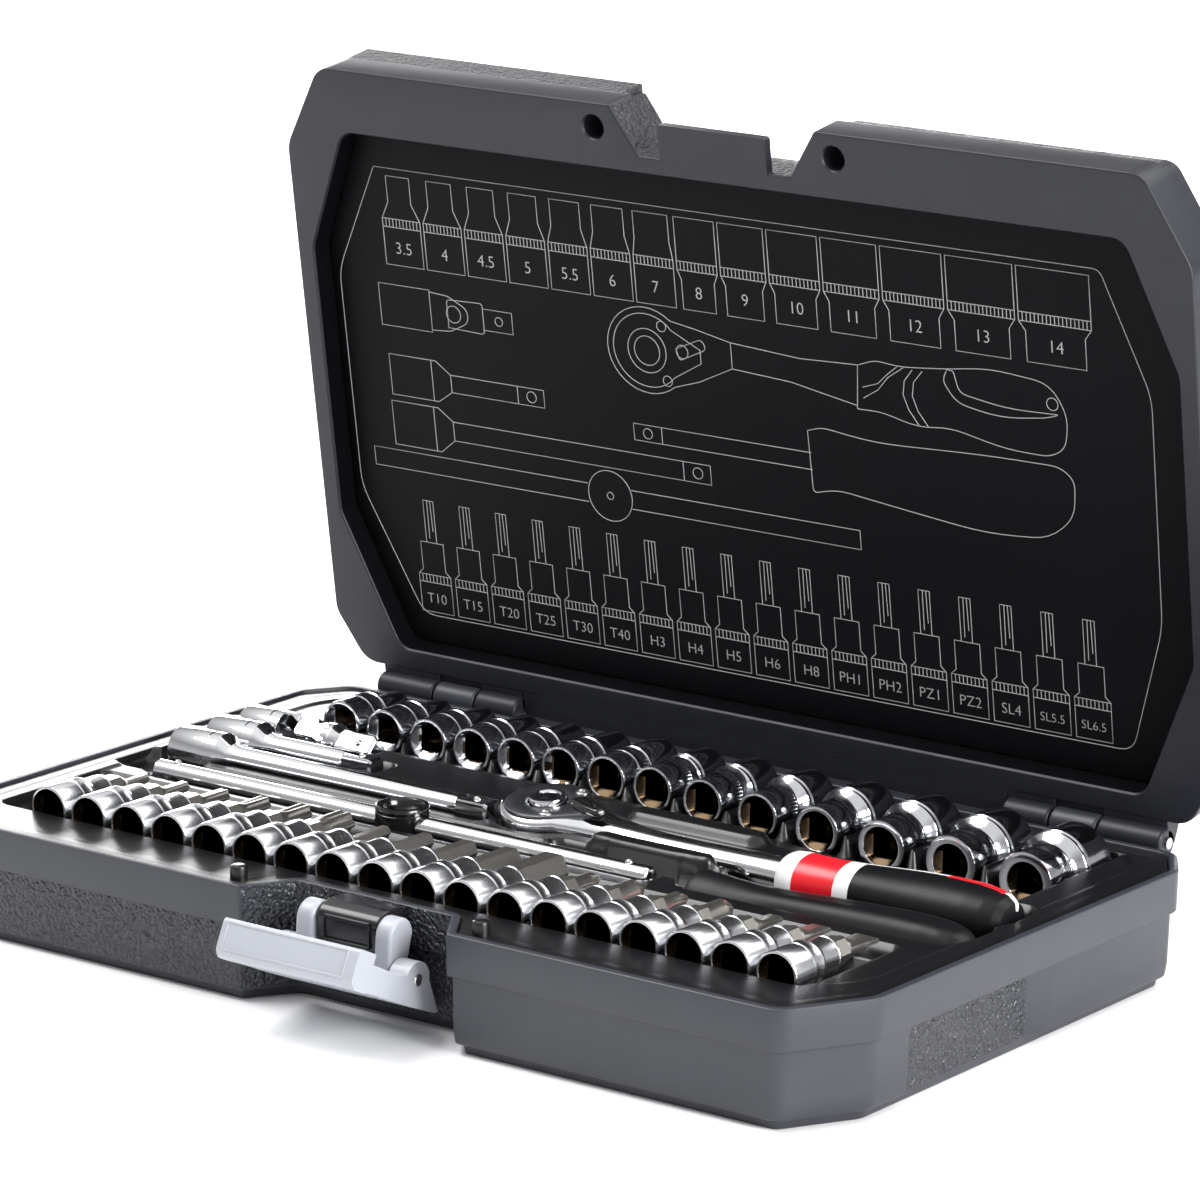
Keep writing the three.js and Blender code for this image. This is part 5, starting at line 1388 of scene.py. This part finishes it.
    # A finger's hollow at the left ends of the rod and the long bar.
    z = sink(rounded_box(-HALF_WIDTH + 8, low.x + 6, rod_y - 2.5, rod_y + 11.5, 4), low.z + 1, 2.5)
    # Spinner and ratchet: deep wells whose walls follow the tools.
    low, high = cad_box("spinner_handle")
    shank_low, _ = cad_box("spinner_shank")
    z = sink(rounded_box(shank_low.x - 1.2, low.x + 2, low.y + 4.5, high.y - 4.5, 1.5), low.z + 4.5)
    z = sink(rounded_box(low.x - 1.4, high.x + 0.9, low.y - 0.4, high.y + 0.5, 6), low.z - 0.2, 1.4)
    grip_low, grip_high = cad_box("ratchet_grip")
    band_low, _ = cad_box("ratchet_grip_band")
    z = sink(rounded_box(band_low.x - 1, grip_high.x + 1.2, grip_low.y - 0.6, grip_high.y + 0.7, 5),
             grip_low.z - 0.3, 1.4)
    neck_floor, head_floor = 17.5, 12.0
    z = sink(rounded_box(HEAD.x, band_low.x + 2, HEAD.y - 6.2, HEAD.y + 7.4, 2), neck_floor, 1.2)
    across = abs(gy - HEAD.y - 0.8)
    z = sink(np.hypot(gx - HEAD.x, across) - HEAD_RADIUS - 0.7, head_floor, 1.2)
    taper = np.maximum(across - (11.8 - 0.42 * (gx - HEAD.x - 2)), abs(gx - HEAD.x - 12) - 10)
    z = sink(taper, neck_floor, 1.2)
    # The lands either side of the ratchet's neck.
    near = np.maximum(rounded_box(9, 45, 0.8, 7.2, 3), -(gy - 0.6 - 0.004 * (gx - 26) ** 2))
    z = np.where((near < 0) & (gy < HEAD.y - 6.4), np.maximum(z, TRAY_TOP + 2.0 * ease(-near / 1.2)), z)
    far = rounded_box(3, 45, HEAD.y + 9.4, HEAD.y + 18.5, 5)
    z = np.where(far < 0, np.maximum(z, TRAY_TOP + 2.2 * ease(-far / 2.2)), z)
    return gx, gy, z, step


def build_tray():
    gx, gy, z, step = tray_height()
    rows, columns = gx.shape
    edge = outline(case_corners(), 4.4, 3)
    # Keeps the cells whose middle is inside the tray's outline.
    ex = np.array([p.x for p in edge])
    ey = np.array([p.y for p in edge])
    cx = (gx[:-1, :-1] + step / 2).ravel()
    cy = (gy[:-1, :-1] + step / 2).ravel()
    inside = np.zeros(cx.shape, bool)
    for i in range(len(edge)):
        x0, y0, x1, y1 = ex[i - 1], ey[i - 1], ex[i], ey[i]
        if y0 == y1:
            continue
        crosses = ((y0 > cy) != (y1 > cy)) & (cx < (x1 - x0) * (cy - y0) / (y1 - y0) + x0)
        inside ^= crosses
    index = np.arange(rows * columns).reshape(rows, columns)
    quads = np.stack([index[:-1, :-1], index[:-1, 1:], index[1:, 1:], index[1:, :-1]], -1)
    quads = quads.reshape(-1, 4)[inside]
    used, flat = np.unique(quads, return_inverse=True)
    points = np.stack([gx.ravel(), gy.ravel(), z.ravel()], -1)[used] * MM
    mesh = bpy.data.meshes.new("tray_surface")
    mesh.from_pydata(points.tolist(), [], flat.reshape(-1, 4).tolist())
    thing = linked("tray_surface", mesh)
    give(thing, TRAY_PLASTIC)
    mesh.polygons.foreach_set("use_smooth", [True] * len(mesh.polygons))
    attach(thing, "case")
    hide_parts("tray")
    rim = rounded_line([(7.4, TRAY_TOP - 1.2, 0), (7.4, TRAY_TOP, 0.12), (2.6, TRAY_TOP, 0.3),
                        (2.6, TRAY_TOP - 1.8, 0.1), (7.4, TRAY_TOP - 1.8, 0)])
    ring = loft([[(p.x, p.y, height) for p in outline(case_corners(), inset, 6)] for inset, height in rim],
                closed=True)
    finish_piece(Shape(ring).object("tray_flange"), "case", (), [TRAY_PLASTIC])
    peg = [(-1, 2.15), (2.6, 2.1), (3.2, 1.9), (3.5, 1.3), (3.5, 0.8)]
    pegs = Shape(*(turned(peg, Vector((side * PEG["side"], PEG["y"], TRAY_TOP)), Z_AXIS, 36)
                   for side in (-1, 1)))
    finish_piece(pegs.object("tray_pegs"), "case", (), [TRAY_PLASTIC])


build_tray()


# ---- CAD nodes that stay
def dress(node, material, bevel):
    thing = frame["nodes"][node]
    thing.data.materials.clear()
    give(thing, material)
    soften(thing, bevel, 2)


for pin in ("hinge_pin_left", "hinge_pin_right", "latch_link_pin", "latch_lever_pin"):
    dress(pin, PIN_STEEL, 0.15)
dress("ratchet_drive", PLATE_STEEL, 0.12)
dress("ratchet_pawl", PLATE_STEEL, 0.12)


# ---- floor and light
def build_stage():
    ring = [(4000 * math.cos(TAU * k / 64), 4000 * math.sin(TAU * k / 64), -0.02) for k in range(64)]
    thing = Shape((ring, [tuple(range(64))])).object("floor")
    paper = Nodes("floor_paper")
    paper.shader.inputs["Base Color"].default_value = (0.93, 0.93, 0.94, 1)
    paper.shader.inputs["Roughness"].default_value = 0.6
    paper.shader.inputs["Specular IOR Level"].default_value = 0.2
    give(thing, paper.material)


def area_light(name, place, target, size, power):
    data = bpy.data.lights.new(name, "AREA")
    data.shape = "RECTANGLE"
    data.size, data.size_y = size
    data.energy = power
    light = linked(name, data)
    light.location = place
    light.rotation_euler = (Vector(target) - Vector(place)).to_track_quat("-Z", "Y").to_euler()
    return light


def build_light():
    world = bpy.data.worlds.new("studio")
    bpy.context.scene.world = world
    world.use_nodes = True
    tree = world.node_tree
    background = tree.nodes["Background"]
    background.inputs["Strength"].default_value = 1.0
    coordinates = tree.nodes.new("ShaderNodeTexCoord")
    split = tree.nodes.new("ShaderNodeSeparateXYZ")
    ramp = tree.nodes.new("ShaderNodeValToRGB")
    tree.links.new(coordinates.outputs["Generated"], split.inputs["Vector"])
    tree.links.new(split.outputs["Z"], ramp.inputs["Fac"])
    tree.links.new(ramp.outputs["Color"], background.inputs["Color"])
    # Brightness of the studio from the horizon up to overhead.
    stops = ((0.0, 0.5), (0.12, 0.55), (0.3, 0.42), (0.42, 0.34), (0.55, 0.55), (0.75, 1.0), (1.0, 1.0))
    ramp.color_ramp.elements[0].position = stops[0][0]
    ramp.color_ramp.elements[1].position = stops[-1][0]
    for position, _ in stops[1:-1]:
        ramp.color_ramp.elements.new(position)
    for element, (_, value) in zip(ramp.color_ramp.elements, stops):
        element.color = (value, value, value, 1)
    area_light("key", (-0.6, -0.3, 1.2), (0, 0, 0.03), (0.8, 0.8), 17)
    area_light("side", (1.3, -0.1, 0.5), (0.05, 0, 0.03), (0.8, 0.6), 26)
    # A bright panel at the back left, which the tray and the tools mirror.
    reflector = area_light("reflector", (-0.9, 1.1, 0.34), (-0.05, 0, 0.03), (1.0, 0.26), 10)
    reflector.visible_camera = False
    area_light("backdrop", (0.6, 1.2, 1.6), (-0.6, 1.3, 0), (1.6, 1.6), 22)
    bpy.context.scene.view_settings.view_transform = "Standard"


build_stage()
build_light()
